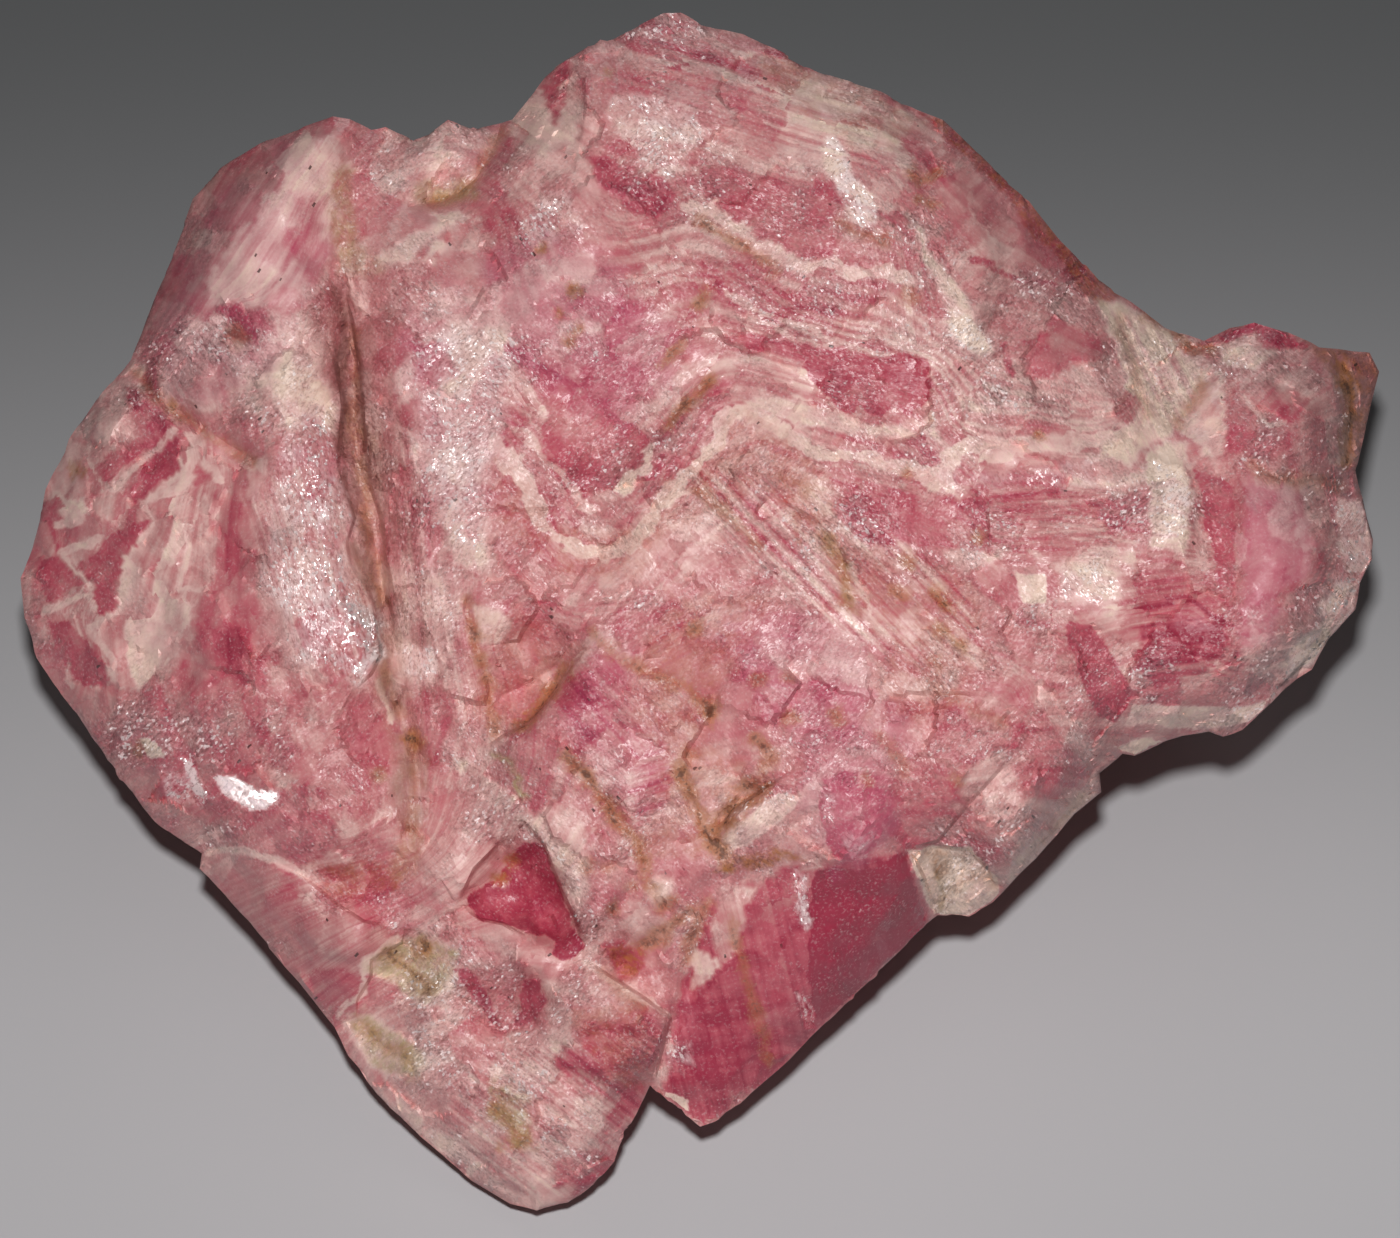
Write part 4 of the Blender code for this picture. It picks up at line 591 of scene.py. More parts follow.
VEINS: list[Vein] = [
    Vein("zigzag edge", TONE, -0.5, 0.45, [(-44.1, 15.5), (-44, 13.8), (-42.9, 12.5), (-46.4, 9.6),
        (-45.5, 8.1), (-47.9, 5.3), (-48.1, 1.2), (-51, -0.6), (-48.9, -3.8), (-49.3, -4.8)]),
    Vein("zigzag parting", TONE, -0.42, 0.45, [(-48.9, 10.8), (-43.8, 15.6)]),
    Vein("inner chevron", TONE, -0.45, 0.7, [(-46, 10), (-43.5, 10.9), (-41.6, 12.6),
        (-40.2, 11.7)]),
    Vein("outer chevron one", TONE, -0.5, 0.5, [(-53.6, 7.9), (-51.5, 8.4), (-53.9, 10.5)]),
    Vein("outer chevron two", TONE, -0.45, 0.8, [(-53, 5.9), (-49.8, 7)]),
    Vein("outer chevron three", TONE, -0.52, 0.5, [(-53.2, 5.5), (-50.5, 2.4), (-54.6, 0.6)]),
    Vein("outer chevron four", TONE, -0.45, 0.4, [(-53.9, -2), (-52.5, -3.4), (-52.7, -4.8),
        (-52.2, -5.4)]),
    Vein("inner cream strip", TONE, -0.35, 0.4, [(-41.2, 10), (-41, 2.6), (-43.4, 2.4)]),
    Vein("brown groove", STAIN, 0.55, 0.4, [(-47, 20.8), (-45.4, 18.6), (-37.4, 13)]),
    Vein("brown groove core", STAIN, 0.95, 0.45, [(-44.4, 18), (-43.2, 17)]),
    Vein("gully bank shade", CRUST, 0.62, 1.5, [(-28.9, 24), (-27.7, 7), (-24, -11), (-24, -16)]),
    Vein("gully edge shadow", CRUST, 0.95, 0.9, [(-29.9, 28), (-29.4, 12), (-28, 5.6), (-27, 4.4),
        (-26.6, -2.6), (-25.2, -7.5)]),
    Vein("gully head tan", OLIVE, 0.45, 1.2, [(-30, 37), (-29.4, 30), (-27, 29)]),
    Vein("gully tan", OLIVE, 0.25, 1.4, [(-28.6, 16), (-27.6, 10), (-27.6, 2), (-24, -12),
        (-24, -18), (-25, -21)]),
    Vein("gully floor brown", STAIN, 0.35, 0.2, [(-26.2, -4.4), (-24, -10.6), (-23.6, -14),
        (-24.8, -20)]),
    Vein("gully black spot", STAIN, 1.0, 0.7, [(-24, -9.8), (-23.5, -10.4)]),
    Vein("light sliver", TONE, -0.8, 0.4, [(-26.8, -5.2), (-25.6, -8.6)]),
    Vein("knob seam brown", STAIN, 0.6, 0.2, [(-16.4, 41), (-18.8, 36.6), (-20.2, 35.5),
        (-22.2, 34.8)]),
    Vein("knob foot shade", OLIVE, 0.6, 1.0, [(-19.4, 36), (-21, 35.2), (-23, 35.4)]),
    Vein("cream band north", TONE, -0.5, 1.2, [(-1, 34.8), (5, 31), (11.6, 28.8), (17, 28)]),
    Vein("band slit brown", STAIN, 0.7, 0.45, [(0, 33.4), (1.8, 31.9), (6, 29.6)]),
    Vein("thin cream line", TONE, -0.42, 0.4, [(2, 27.2), (5, 25.6), (19.4, 20.4)]),
    Vein("thin cream line two", TONE, -0.35, 0.35, [(4, 25.2), (8, 23.4), (18, 20.6)]),
    Vein("strong cream band", TONE, -0.66, 1.1, [(1.4, 16.6), (4.6, 16.8), (7.4, 15), (11, 13.6),
        (20.6, 11.2)]),
    Vein("cream band east", TONE, -0.6, 1.5, [(20, 12.6), (24, 14.4), (28, 14.4), (36, 15.6)]),
    Vein("cream U band", TONE, -0.55, 1.3, [(-16.8, 14.6), (-13.6, 8.4), (-12, 6.4), (-10, 5.4),
        (-7.6, 5), (-5.6, 6.4), (-4, 8.8), (-1.6, 10.6), (1.6, 16.6)]),
    Vein("cream inner U", TONE, -0.42, 0.8, [(-14, 14.8), (-9.2, 9.4)]),
    Vein("cream beads", TONE, -0.8, 0.9, [(-6.4, 11.4), (-4.6, 12.4), (-4, 14)]),
    Vein("dark facet edge", TONE, 0.78, 0.7, [(-16, 22.4), (-12.4, 20.2), (-6.2, 15.2)]),
    Vein("dark facet foot", TONE, 0.7, 0.7, [(-13, 13.8), (-9.6, 10.4)]),
    Vein("fracture brown", STAIN, 0.85, 0.5, [(-2.8, 16), (0.8, 19.9)]),
    Vein("fracture slit one", STAIN, 0.8, 0.4, [(-2.9, 21.4), (-1.6, 22.8)]),
    Vein("fracture slit two", STAIN, 0.8, 0.4, [(0.1, 26.4), (0.7, 27.4)]),
    Vein("fracture slit three", STAIN, 0.8, 0.4, [(-11.2, 23), (-10, 24.2)]),
    Vein("brown dash", STAIN, 0.55, 0.5, [(11.6, 33), (15.4, 31.4)]),
    Vein("crest crack brown", STAIN, 0.75, 0.35, [(17.6, 37.2), (18.4, 36.4), (20, 37.4)]),
    Vein("crest crack two", STAIN, 0.8, 0.35, [(18.4, 35), (19.6, 34.4)]),
    Vein("purple line", TONE, 0.6, 0.45, [(22.6, 30), (27.6, 28), (29.6, 28)]),
    Vein("red line", TONE, 0.7, 0.55, [(25.5, 23), (25.9, 20.4)]),
    Vein("red line two", TONE, 0.45, 0.45, [(26, 22.6), (28.8, 23.3)]),
    Vein("east seam brown", STAIN, 0.45, 0.4, [(35, 25), (37.2, 17)]),
    Vein("junction dark line", STAIN, 0.75, 0.35, [(41.8, 19.4), (39.8, 16.2)]),
    Vein("rim dark edge", STAIN, 0.8, 0.5, [(37.4, 25.4), (41, 22.6), (42.6, 22.4)]),
    Vein("panel brown edge", STAIN, 0.45, 0.7, [(46, 12.9), (49.4, 11.6), (53, 11)]),
    Vein("cream squiggle", TONE, -0.42, 0.3, [(45.2, 18.6), (47.4, 16), (48.8, 16.4)]),
    Vein("corner gap", STAIN, 1.0, 0.6, [(53.4, 21), (54, 18.6), (53.9, 13)]),
    Vein("block crack", STAIN, 0.6, 0.5, [(-8.8, -1.4), (-5.6, -4), (-1, -6), (1.4, -7.6)]),
    # painted shadow in the cavity under the ledge, drawn as a dark stain line
    Vein("ledge cavity shadow", STAIN, 1.0, 0.75, [(-11.6, -4.6), (-13.2, -7.6), (-14.8, -8.8)]),
    Vein("west seam brown", STAIN, 0.7, 0.45, [(-19.6, 1.6), (-18, -4), (-17, -9.8)]),
    Vein("gold streak", OLIVE, 0.9, 0.35, [(-16.6, -11.8), (-14.6, -14.9)]),
    Vein("west stained crack", STAIN, 0.85, 0.7, [(-11.2, -11.4), (-5.8, -17.8), (-4.8, -20.2)]),
    Vein("middle stained crack", STAIN, 0.85, 0.8, [(-2, -12.2), (1.8, -20.4)]),
    # painted shadow in the deep slot beside the beam, drawn as a dark stain line
    Vein("beam slot shadow", STAIN, 1.0, 0.8, [(5.4, -14), (1, -17.6)]),
    Vein("stained arc", STAIN, 0.7, 0.7, [(4.4, -10), (5.6, -11.2), (4.6, -13.4), (3, -14.2)]),
    Vein("pit stain one", STAIN, 0.7, 0.7, [(-0.6, -24.2), (-5, -27.2)]),
    Vein("pit stain two", STAIN, 0.65, 0.55, [(0.2, -23.8), (-1.4, -28.4)]),
    Vein("bead ring", STAIN, 0.7, 0.45, [(-4.6, -20.4), (-4.6, -22.2), (-3.4, -23.9), (-2, -23.4)]),
    Vein("south stain", STAIN, 0.45, 0.6, [(-8, -29.4), (-4.6, -32.6)]),
    Vein("tip cream ledge", TONE, -0.5, 0.45, [(-9.6, -28.6), (-2.6, -33)]),
    Vein("red face orange seam", STAIN, 0.55, 0.4, [(2.6, -25), (5.8, -37)]),
    Vein("fan olive", OLIVE, 0.5, 0.6, [(10.8, 6.8), (12, 4.6), (12.8, 0.4)]),
    Vein("fan brown", STAIN, 0.6, 0.5, [(10.6, 7), (12.6, 2)]),
    Vein("fan stain", STAIN, 0.55, 0.5, [(0.2, 10.6), (4.8, 6)]),
    Vein("fan streak one", TONE, -0.6, 0.3, [(7, 8.6), (9.8, 5.8)]),
    Vein("fan streak two", TONE, -0.55, 0.3, [(12.6, 4.6), (14.6, 0)]),
    Vein("east slot one", STAIN, 0.85, 0.5, [(17, 5.2), (17.6, 4.2)]),
    Vein("east slot two", STAIN, 0.65, 0.5, [(15.8, 2.4), (17, 1.8)]),
    Vein("east slot three", STAIN, 0.85, 0.45, [(19.4, 2.4), (21, 0.6)]),
    Vein("east slit brown", STAIN, 0.85, 0.45, [(19.8, -0.6), (21.8, -2.4)]),
    Vein("terrace line", STAIN, 0.4, 0.35, [(19.6, -3.2), (20.2, -5.8), (22.6, -7.6),
        (25.4, -8.6)]),
    Vein("terrace orange line", STAIN, 0.45, 0.35, [(14.8, -9.4), (17.2, -12.8)]),
    Vein("slab cream edge", TONE, -0.6, 0.5, [(-41, -19.6), (-38, -19.2), (-35.4, -20),
        (-33, -21.4)]),
    Vein("slab end edge", TONE, -0.6, 0.5, [(-25.2, -26.6), (-28, -28.4), (-28, -31),
        (-30.2, -33)]),
    Vein("pocket stripe", STAIN, 0.6, 0.8, [(-26, -27.8), (-22.8, -30.8)]),
    Vein("pocket stripe two", STAIN, 0.5, 0.6, [(-28.4, -33.6), (-24, -37.2)]),
    Vein("gully floor shadow", STAIN, 0.55, 0.12, [(-29, 24), (-28.5, 20), (-28.9, 17), (-27.8, 8),
        (-26.4, 1)]),
    Vein("tip olive core", STAIN, 0.6, 0.9, [(-17, -39.6), (-14.6, -43.6)]),
    Vein("tip dark hook", STAIN, 0.9, 0.35, [(-17.2, -40.8), (-16.4, -40.7), (-15.6, -41.8)]),
    Vein("pocket fold one", STAIN, 0.5, 0.3, [(20, -23.4), (22, -21.8), (23.6, -21.2),
        (24.6, -22.4)]),
    Vein("pocket fold two", OLIVE, 0.6, 0.35, [(19.4, -20.8), (20, -22.4), (19.8, -24)]),
    Vein("lower rim dark", STAIN, 0.4, 0.4, [(27.6, -19.6), (32, -14.6)]),
]

SPOTS: list[tuple[Layer, float, float, float, float]] = [
    # layer, value, u, v, radius
    (STAIN, 0.8, 0.9, -7.7, 0.8), (STAIN, 0.75, 7.5, -8.3, 0.7), (STAIN, 0.75, 11.5, -8.1, 0.6),
    (STAIN, 0.6, -0.6, -0.6, 0.6), (STAIN, 0.6, 4.9, -5.2, 0.7), (STAIN, 0.5, 7.4, -4.8, 0.5),
    (STAIN, 0.6, 16.2, -11.4, 0.4), (STAIN, 0.7, 21.4, -13.3, 0.45),
    (STAIN, 0.6, 13.8, -13.4, 0.4),
    (STAIN, 0.5, -7.6, -20.8, 0.45), (STAIN, 0.5, -9.4, -20.6, 0.45), (STAIN, 0.6, -7.4, -24, 0.5),
    (STAIN, 0.55, -1.2, -11.4, 0.6), (STAIN, 0.6, -5.6, -22.2, 0.4), (STAIN, 0.6, 17.4, 26.8, 0.7),
    (STAIN, 0.5, 6.2, 28.8, 0.5), (STAIN, 0.8, -52, 12.4, 0.6), (STAIN, 0.5, -38.8, 23.6, 1.0),
    (STAIN, 1.0, -10.5, 27.5, 0.45), (STAIN, 1.0, -11.7, 25.5, 0.25), (STAIN, 1.0, -9.8, 27.1, 0.2),
    (STAIN, 1.0, -13.1, 30.8, 0.35), (STAIN, 1.0, 28.2, 15.2, 0.3), (STAIN, 1.0, 17.4, 12.1, 0.25),
    (STAIN, 1.0, 23.2, 6.7, 0.3), (STAIN, 1.0, -16.8, -21.6, 0.55), (STAIN, 1.0, -15.6, -20.4, 0.4),
    (STAIN, 1.0, -4, -22.3, 0.3), (STAIN, 1.0, -7.7, 45.5, 0.25), (STAIN, 1.0, -16.6, -44, 0.3),
    (STAIN, 0.9, -23, -27.3, 0.8), (STAIN, 0.9, -46.8, -10.9, 0.35),
    (TONE, -0.85, -3.2, -22.5, 1.2), (TONE, 0.12, -13.8, -27.6, 2.0),
    (TONE, -0.7, -23.8, -36.8, 1.1), (TONE, -0.2, 25.8, -4.7, 1.3),
    (TONE, -0.9, -19.8, -12.2, 0.6), (PEARL, 1.0, -25.6, -25.4, 0.6),
    (OLIVE, 0.5, -26.8, -13, 0.7),
]

GROWTH_LINES: list[GrowthLine] = [
    GrowthLine(3, [(-4, 49.6), (4, 48), (18, 41.6)]),
    GrowthLine(0, [(-5, 46.6), (0, 45.6), (10, 41.8)]),
    GrowthLine(-3.5, [(-5, 43.4), (0, 42.4), (10, 39), (16, 37.6)]),
    GrowthLine(-8, [(-7, 37), (0, 38.4), (8, 35.2), (11, 33.4)]),
    GrowthLine(-12, [(-6, 33), (0, 35), (8, 30.6), (17, 28.8)]),
    GrowthLine(-16, [(-12, 29), (-5, 29.6), (0, 30.6), (7, 26.6), (18, 23.4)]),
    GrowthLine(-19.5, [(-14, 25), (-6, 25), (2, 26.8), (10, 23), (19.4, 20.4)]),
    GrowthLine(-23, [(-15, 18), (-10, 14), (-7, 14.6), (1, 21.6), (4, 21.8), (14, 18.4),
        (19, 17.8)]),
    GrowthLine(-28, [(-16.8, 14.6), (-12, 6.4), (-10, 5.4), (-7.6, 5), (-5.6, 6.4), (-4, 8.8),
        (-1.6, 10.6), (1.6, 16.6), (4.6, 16.8), (7.4, 15), (11, 13.6), (20.6, 11.2)]),
    GrowthLine(-33, [(-18, 8), (-15, 3.6), (-10, 1.4), (-6, 2), (2, 10.4), (7, 11), (22, 6)]),
    GrowthLine(-39, [(-16, -2), (-11, -3), (-6, -2), (0, 2), (6, 4.4), (12, 2), (20, 0)]),
    GrowthLine(-45, [(-12, -8), (-5, -7), (2, -4), (10, -4), (18, -6), (26, -6)]),
    GrowthLine(-50, [(-10, -14), (6, -10), (22, -12), (30, -10)]),
    GrowthLine(-56, [(-8, -20), (0, -18), (8, -17), (16, -17), (24, -18)]),
    GrowthLine(2, [(20, 38), (30, 28.4)]),
    GrowthLine(-3, [(20.4, 33), (24, 29.4), (28, 28.2), (32, 26)]),
    GrowthLine(-8, [(22, 26), (30, 24.6), (34, 22)]),
    GrowthLine(-13, [(24, 21), (30, 20.4), (35, 18.6)]),
    GrowthLine(-18, [(22, 17), (34, 16.4)]),
    GrowthLine(-23, [(24, 12.4), (30, 12), (35, 11)]),
    GrowthLine(-27, [(25, 8.4), (30, 8.8), (34.6, 8)]),
    GrowthLine(-31, [(26, 4.6), (35, 4)]),
    GrowthLine(-36, [(26, -1), (31, -1), (41, 1.4)]),
    GrowthLine(-41, [(28, -7), (33, -6), (38, -4), (43, -3.4)]),
    GrowthLine(-24, [(38, 18), (41, 12), (44.6, 9)]),
    GrowthLine(-30, [(45, 15), (46, 8), (46, 1)]),
    GrowthLine(-36, [(51, 17), (51.6, 9), (50, 1)]),
    GrowthLine(-41, [(55, 12), (55.4, 5), (53, -1)]),
    GrowthLine(8, [(-45, 25), (-38, 37.6), (-34, 40.4)]),
    GrowthLine(4.5, [(-42.6, 26), (-39.8, 31), (-33, 39.6)]),
    GrowthLine(-1, [(-38, 28), (-32, 37.6)]),
    GrowthLine(10, [(-55.4, 9), (-54, 6), (-55, 3), (-54, -3)]),
    GrowthLine(6, [(-52, 14), (-50, 11), (-52, 8.4), (-50.2, 7.2), (-52.4, 5.4), (-50.8, 3),
        (-53, 0.6), (-51.6, -2), (-51, -5)]),
    GrowthLine(2, [(-47, 19), (-45.2, 15.2), (-43.4, 13.4), (-46.6, 9.8), (-45.6, 8), (-48.2, 5),
        (-47.8, 2), (-49.8, 0), (-48.8, -6), (-46.6, -9.4), (-43, -13)]),
    GrowthLine(-4, [(-44, 22), (-41, 16.4), (-40, 11.7), (-40.8, 9), (-40.8, 3), (-41.8, 0),
        (-41, -4), (-41.6, -8), (-38, -13)]),
    GrowthLine(-10, [(-38, 26), (-34.6, 22), (-35.6, 8), (-35, -5), (-33, -12), (-30, -17)]),
    GrowthLine(-15, [(-30.6, 34), (-30.6, 28), (-28, 2), (-25, -12), (-24.4, -18)]),
    GrowthLine(-20, [(-24, 36), (-24, 28), (-25, 18), (-23, 8), (-22, 0), (-20, -8)]),
    GrowthLine(-24, [(-19, 33), (-19.4, 18), (-18.8, 10)]),
    GrowthLine(-60, [(-20, -28), (-10, -30), (0, -30), (10, -27), (18, -24)]),
    GrowthLine(-68, [(-26, -36), (-16, -38), (-6, -38), (4, -36)]),
]

STRIATIONS: list[Striation] = [
    Striation("block rulings", -48.0, 0.5, [(-9.4, -2.6), (-7, -3.2), (-3.8, -10.6), (-5.4, -12.8),
        (-9, -10.8), (-12.2, -7)]),
    Striation("rungs", 20.0, 0.7, [(-4.8, -10.8), (-2.8, -10.2), (-2.2, -13), (-3.2, -16.2),
        (-5.6, -17.2), (-6, -13.6)]),
    Striation("red face streaks", -76.0, 0.4, [(0, -24), (4, -21.6), (9, -21), (17, -19.2),
        (19, -25.6), (9, -36), (1, -43), (-4, -39), (-2, -33)]),
    Striation("tip bands", -38.0, 0.55, [(-18, -36), (-12, -35.6), (-3, -33), (-5, -42), (-9, -48),
        (-16, -48), (-22, -42)]),
    Striation("lobe flank lines", 58.0, 0.3, [(-47, 23), (-45, 30), (-42, 36), (-38, 39.6),
        (-32, 42), (-39.8, 30.6), (-43, 25)]),
    Striation("pale facet lines", 58.0, 0.3, [(-41.5, 27), (-36.4, 35), (-31, 40.4), (-29.6, 37),
        (-30.4, 32), (-34, 26)]),
    Striation("flake curves", -72.0, 0.55, [(-38, 9), (-34, 14.6), (-31, 14), (-27, 0),
        (-28.6, -5.8), (-34.4, -3)]),
    Striation("shoulder dashes", -82.0, 0.35, [(14, 31.4), (19, 32), (20, 26), (19, 22.6),
        (15, 23.4), (13.4, 28)]),
    Striation("crown bands", -17.0, 0.4, [(-5, 48.4), (4, 48), (12, 45), (18, 42), (18, 37),
        (2, 40.6), (-4, 44)]),
    Striation("north bands", -22.0, 0.45, [(0, 38), (11.2, 35.6), (11.4, 29.6), (3, 32.4),
        (0, 35)]),
    Striation("stair bands", -14.0, 0.4, [(1, 27), (10, 25), (19.4, 22), (19.4, 17.6), (10, 18.4),
        (3, 21)]),
    Striation("junction fibres", -62.0, 0.6, [(33, 26.6), (39.8, 23.4), (42, 20), (39, 13),
        (35, 12.6), (36, 19)]),
    Striation("fan fibres", -46.0, 0.75, [(-1, 12.6), (5, 12), (12, 10), (22, 3), (24, -4),
        (18, -4), (10, 0), (2, 6)]),
    Striation("foot bands", 8.0, 0.6, [(35, 5), (43.6, 5), (43.8, -5), (36.6, -5.2)]),
    Striation("striped panel lines", 4.0, 0.5, [(24.2, 11), (34, 10.6), (34.8, 5.2), (24.4, 4.6)]),
    Striation("gully lines", -86.0, 0.3, [(-27.6, 16), (-23.6, 14), (-21.6, 2), (-22.6, -19),
        (-26, -20), (-26, -4)]),
]


# ---- mesh work ----
@dataclass
class TriangleMesh:
    """Points in metres and triangles, with the sums that smoothing needs."""

    points: Array
    triangles: Array

    @classmethod
    def from_object(cls, source: bpy.types.Object) -> "TriangleMesh":
        """A welded copy of an object's triangles; the object itself stays as it is.

        Args:
            source: the object to copy.

        Returns:
            The copy.
        """
        mesh = source.data
        mesh.calc_loop_triangles()
        points = np.zeros(len(mesh.vertices) * 3)
        mesh.vertices.foreach_get("co", points)
        corners = np.zeros(len(mesh.loop_triangles) * 3, dtype=np.int32)
        mesh.loop_triangles.foreach_get("vertices", corners)
        keys = np.round(points.reshape(-1, 3) / (0.001 * MM)).astype(np.int64)
        _, first, welded = np.unique(keys, axis=0, return_index=True, return_inverse=True)
        triangles = welded.reshape(-1)[corners].reshape(-1, 3)
        return cls(points.reshape(-1, 3)[first], triangles)

    def edges(self) -> tuple[Array, Array]:
        """The edges between the points.

        Returns:
            Every edge once, and for each triangle its edges' numbers (01, 12, 20).
        """
        corners = self.triangles
        pairs = np.vstack([corners[:, [0, 1]], corners[:, [1, 2]], corners[:, [2, 0]]])
        pairs.sort(axis=1)
        unique, numbers = np.unique(pairs, axis=0, return_inverse=True)
        return unique, numbers.reshape(3, -1).T

    def normals(self) -> Array:
        """Directions that the surface faces.

        Returns:
            Area-weighted unit normal of every point.
        """
        a, b, c = (self.points[self.triangles[:, side]] for side in range(3))
        faces = np.cross(b - a, c - a)
        total = np.zeros_like(self.points)
        for side in range(3):
            np.add.at(total, self.triangles[:, side], faces)
        return total / np.maximum(np.linalg.norm(total, axis=1, keepdims=True), 1e-12)

    def split(self, wanted: Array) -> bool:
        """Halves every edge that is too long, keeping the mesh joined up.

        Args:
            wanted: the greatest length of each edge in metres.

        Returns:
            Whether any edge was halved.
        """
        edges, of_triangle = self.edges()
        start, stop = self.points[edges[:, 0]], self.points[edges[:, 1]]
        long = np.linalg.norm(stop - start, axis=1) > wanted
        if not long.any():
            return False
        fresh = np.full(len(edges), -1)
        fresh[long] = len(self.points) + np.arange(long.sum())
        self.points = np.vstack([self.points, 0.5 * (start + stop)[long]])
        halves = fresh[of_triangle]
        count = (halves >= 0).sum(axis=1)
        pieces = [self.triangles[count == 0]]
        for turn in range(3):
            order = [(turn + step) % 3 for step in range(3)]
            a, b, c = (self.triangles[:, side] for side in order)
            ab, bc, ca = (halves[:, side] for side in order)
            one = (count == 1) & (ab >= 0)
            pieces += [np.column_stack(row)[one] for row in ((a, ab, c), (ab, b, c))]
            two = (count == 2) & (ca < 0)
            pieces += [np.column_stack(row)[two] for row in ((ab, b, bc), (a, ab, bc), (a, bc, c))]
        four = count == 3
        a, b, c = (self.triangles[four, side] for side in range(3))
        ab, bc, ca = (halves[four, side] for side in range(3))
        pieces += [np.column_stack(row) for row in
                   ((a, ab, ca), (ab, b, bc), (ca, bc, c), (ab, bc, ca))]
        self.triangles = np.vstack(pieces)
        return True

    def averaged(self, values: Array, rounds: int, edge_keep: float = 0.0) -> Array:
        """Values smoothed over the mesh.

        Args:
            values: one value for each point.
            rounds: how many times each point takes the mean of its neighbours.
            edge_keep: neighbours whose value differs by more than this count little; 0 for all.

        Returns:
            The smoothed values.
        """
        edges, _ = self.edges()
        left, right = edges[:, 0], edges[:, 1]
        for _ in range(rounds):
            gap = values[right] - values[left]
            weight = np.exp(-(gap / edge_keep) ** 2) if edge_keep else np.ones(len(gap))
            total = np.bincount(left, weight * gap, len(values))
            total -= np.bincount(right, weight * gap, len(values))
            share = np.bincount(left, weight, len(values)) + np.bincount(right, weight, len(values))
            values = values + 0.8 * total / np.maximum(share, 0.3)
        return values

    def to_object(self, name: str) -> bpy.types.Object:
        """Makes an object of these triangles.

        Args:
            name: the object's name.

        Returns:
            The object, linked to the scene.
        """
        mesh = bpy.data.meshes.new(name)
        mesh.from_pydata(self.points.tolist(), [], self.triangles.tolist())
        mesh.validate()
        piece = bpy.data.objects.new(name, mesh)
        bpy.context.scene.collection.objects.link(piece)
        return piece


@dataclass(frozen=True)
class CleavageMosaic:
    """Flat facets that split along three slanting directions, each at its own height and tilt."""

    size: float
    step: float
    tilt: float
    salt: int

    def nearest(self, points: Array) -> tuple[Array, Array]:
        """The facet that each point lies on.

        Args:
            points: rows of 2 or 3 coordinates in millimetres.

        Returns:
            The facet's whole-number cell, and the point's place on it in facet sizes.
        """
        flat = points.shape[1] == 2
        skew = np.array([[0.766, -0.643], [0.545, 0.839]]) if flat else np.array(
            [[1.0, 0.4, 0.1], [-0.5, 1.1, 0.2], [0.1, -0.3, 1.0]])
        scaled = points @ skew.T / self.size
        base = np.floor(scaled)
        best = np.full(len(points), np.inf)
        cells, gaps = base.copy(), base.copy()
        for code in range(3 ** points.shape[1]):
            offset = np.array([(code // 3 ** axis) % 3 - 1 for axis in range(points.shape[1])])
            cell = base + offset
            seed = cell + 0.5 + 0.36 * np.column_stack([
                cell_value(cell, self.salt + axis) for axis in range(points.shape[1])])
            gap = scaled - seed
            reach = np.abs(gap).max(axis=1) + 0.25 * np.abs(gap).sum(axis=1)
            nearer = (reach < best)[:, None]
            best = np.minimum(best, reach)
            cells, gaps = np.where(nearer, cell, cells), np.where(nearer, gap, gaps)
        return cells, gaps

    def height(self, points: Array) -> Array:
        """Height of the facets.

        Args:
            points: rows of 2 or 3 coordinates in millimetres.

        Returns:
            Millimetres, one value for each point.
        """
        cells, gaps = self.nearest(points)
        plane = self.step * cell_value(cells, self.salt + 7)
        for axis in range(points.shape[1]):
            plane += self.tilt * self.size * gaps[:, axis] * cell_value(cells, self.salt + 8 + axis)
        return plane

    def values(self, points: Array, *salts: int) -> Array:
        """Random values between -1 and 1 for each facet, one column for each salt."""
        cells, _ = self.nearest(points)
        return np.column_stack([cell_value(cells, self.salt + salt) for salt in salts])


BLOCKS = CleavageMosaic(5.2, 0.22, 0.1, 200)
SMALL_BLOCKS = CleavageMosaic(2.5, 0.1, 0.12, 230)
CRUMBS = CleavageMosaic(1.25, 0.05, 0.11, 260)
WALL_BLOCKS = CleavageMosaic(9.0, 0.25, 0.09, 400)
SMALL_WALL_BLOCKS = CleavageMosaic(3.6, 0.1, 0.1, 430)


# ---- shader building ----
class Socket:
    """A number made by shader nodes, so that sums and products of it read as plain maths."""

    def __init__(self, graph: "ShaderGraph", link: bpy.types.NodeSocket) -> None:
        """Keeps the graph and the output that carries the number."""
        self.graph = graph
        self.link = link

    def _math(self, operation: str, *values: Any, clamp: bool = False) -> "Socket":
        """One Math node on these values."""
        return self.graph.add("ShaderNodeMath", {"operation": operation, "use_clamp": clamp},
                              dict(enumerate(values)))

    def __add__(self, other: Number) -> "Socket":
        """Sum."""
        return self._math("ADD", self, other)

    def __sub__(self, other: Number) -> "Socket":
        """Difference."""
        return self._math("SUBTRACT", self, other)

    def __rsub__(self, other: Number) -> "Socket":
        """Difference from a number."""
        return self._math("SUBTRACT", other, self)

    def __mul__(self, other: Number) -> "Socket":
        """Product."""
        return self._math("MULTIPLY", self, other)

    def __gt__(self, other: Number) -> "Socket":
        """1 where this is greater."""
        return self._math("GREATER_THAN", self, other)

    __radd__ = __add__
    __rmul__ = __mul__

    def clamped(self) -> "Socket":
        """Held between 0 and 1."""
        return self._math("ADD", self, 0.0, clamp=True)

    def most(self, other: Number) -> "Socket":
        """The greater of two."""
        return self._math("MAXIMUM", self, other)

    def between(self, low: float, high: float) -> "Socket":
        """0 at low and 1 at high, eased."""
        return self.graph.add("ShaderNodeMapRange", {"interpolation_type": "SMOOTHSTEP"},
                              {"Value": self, "From Min": low, "From Max": high})


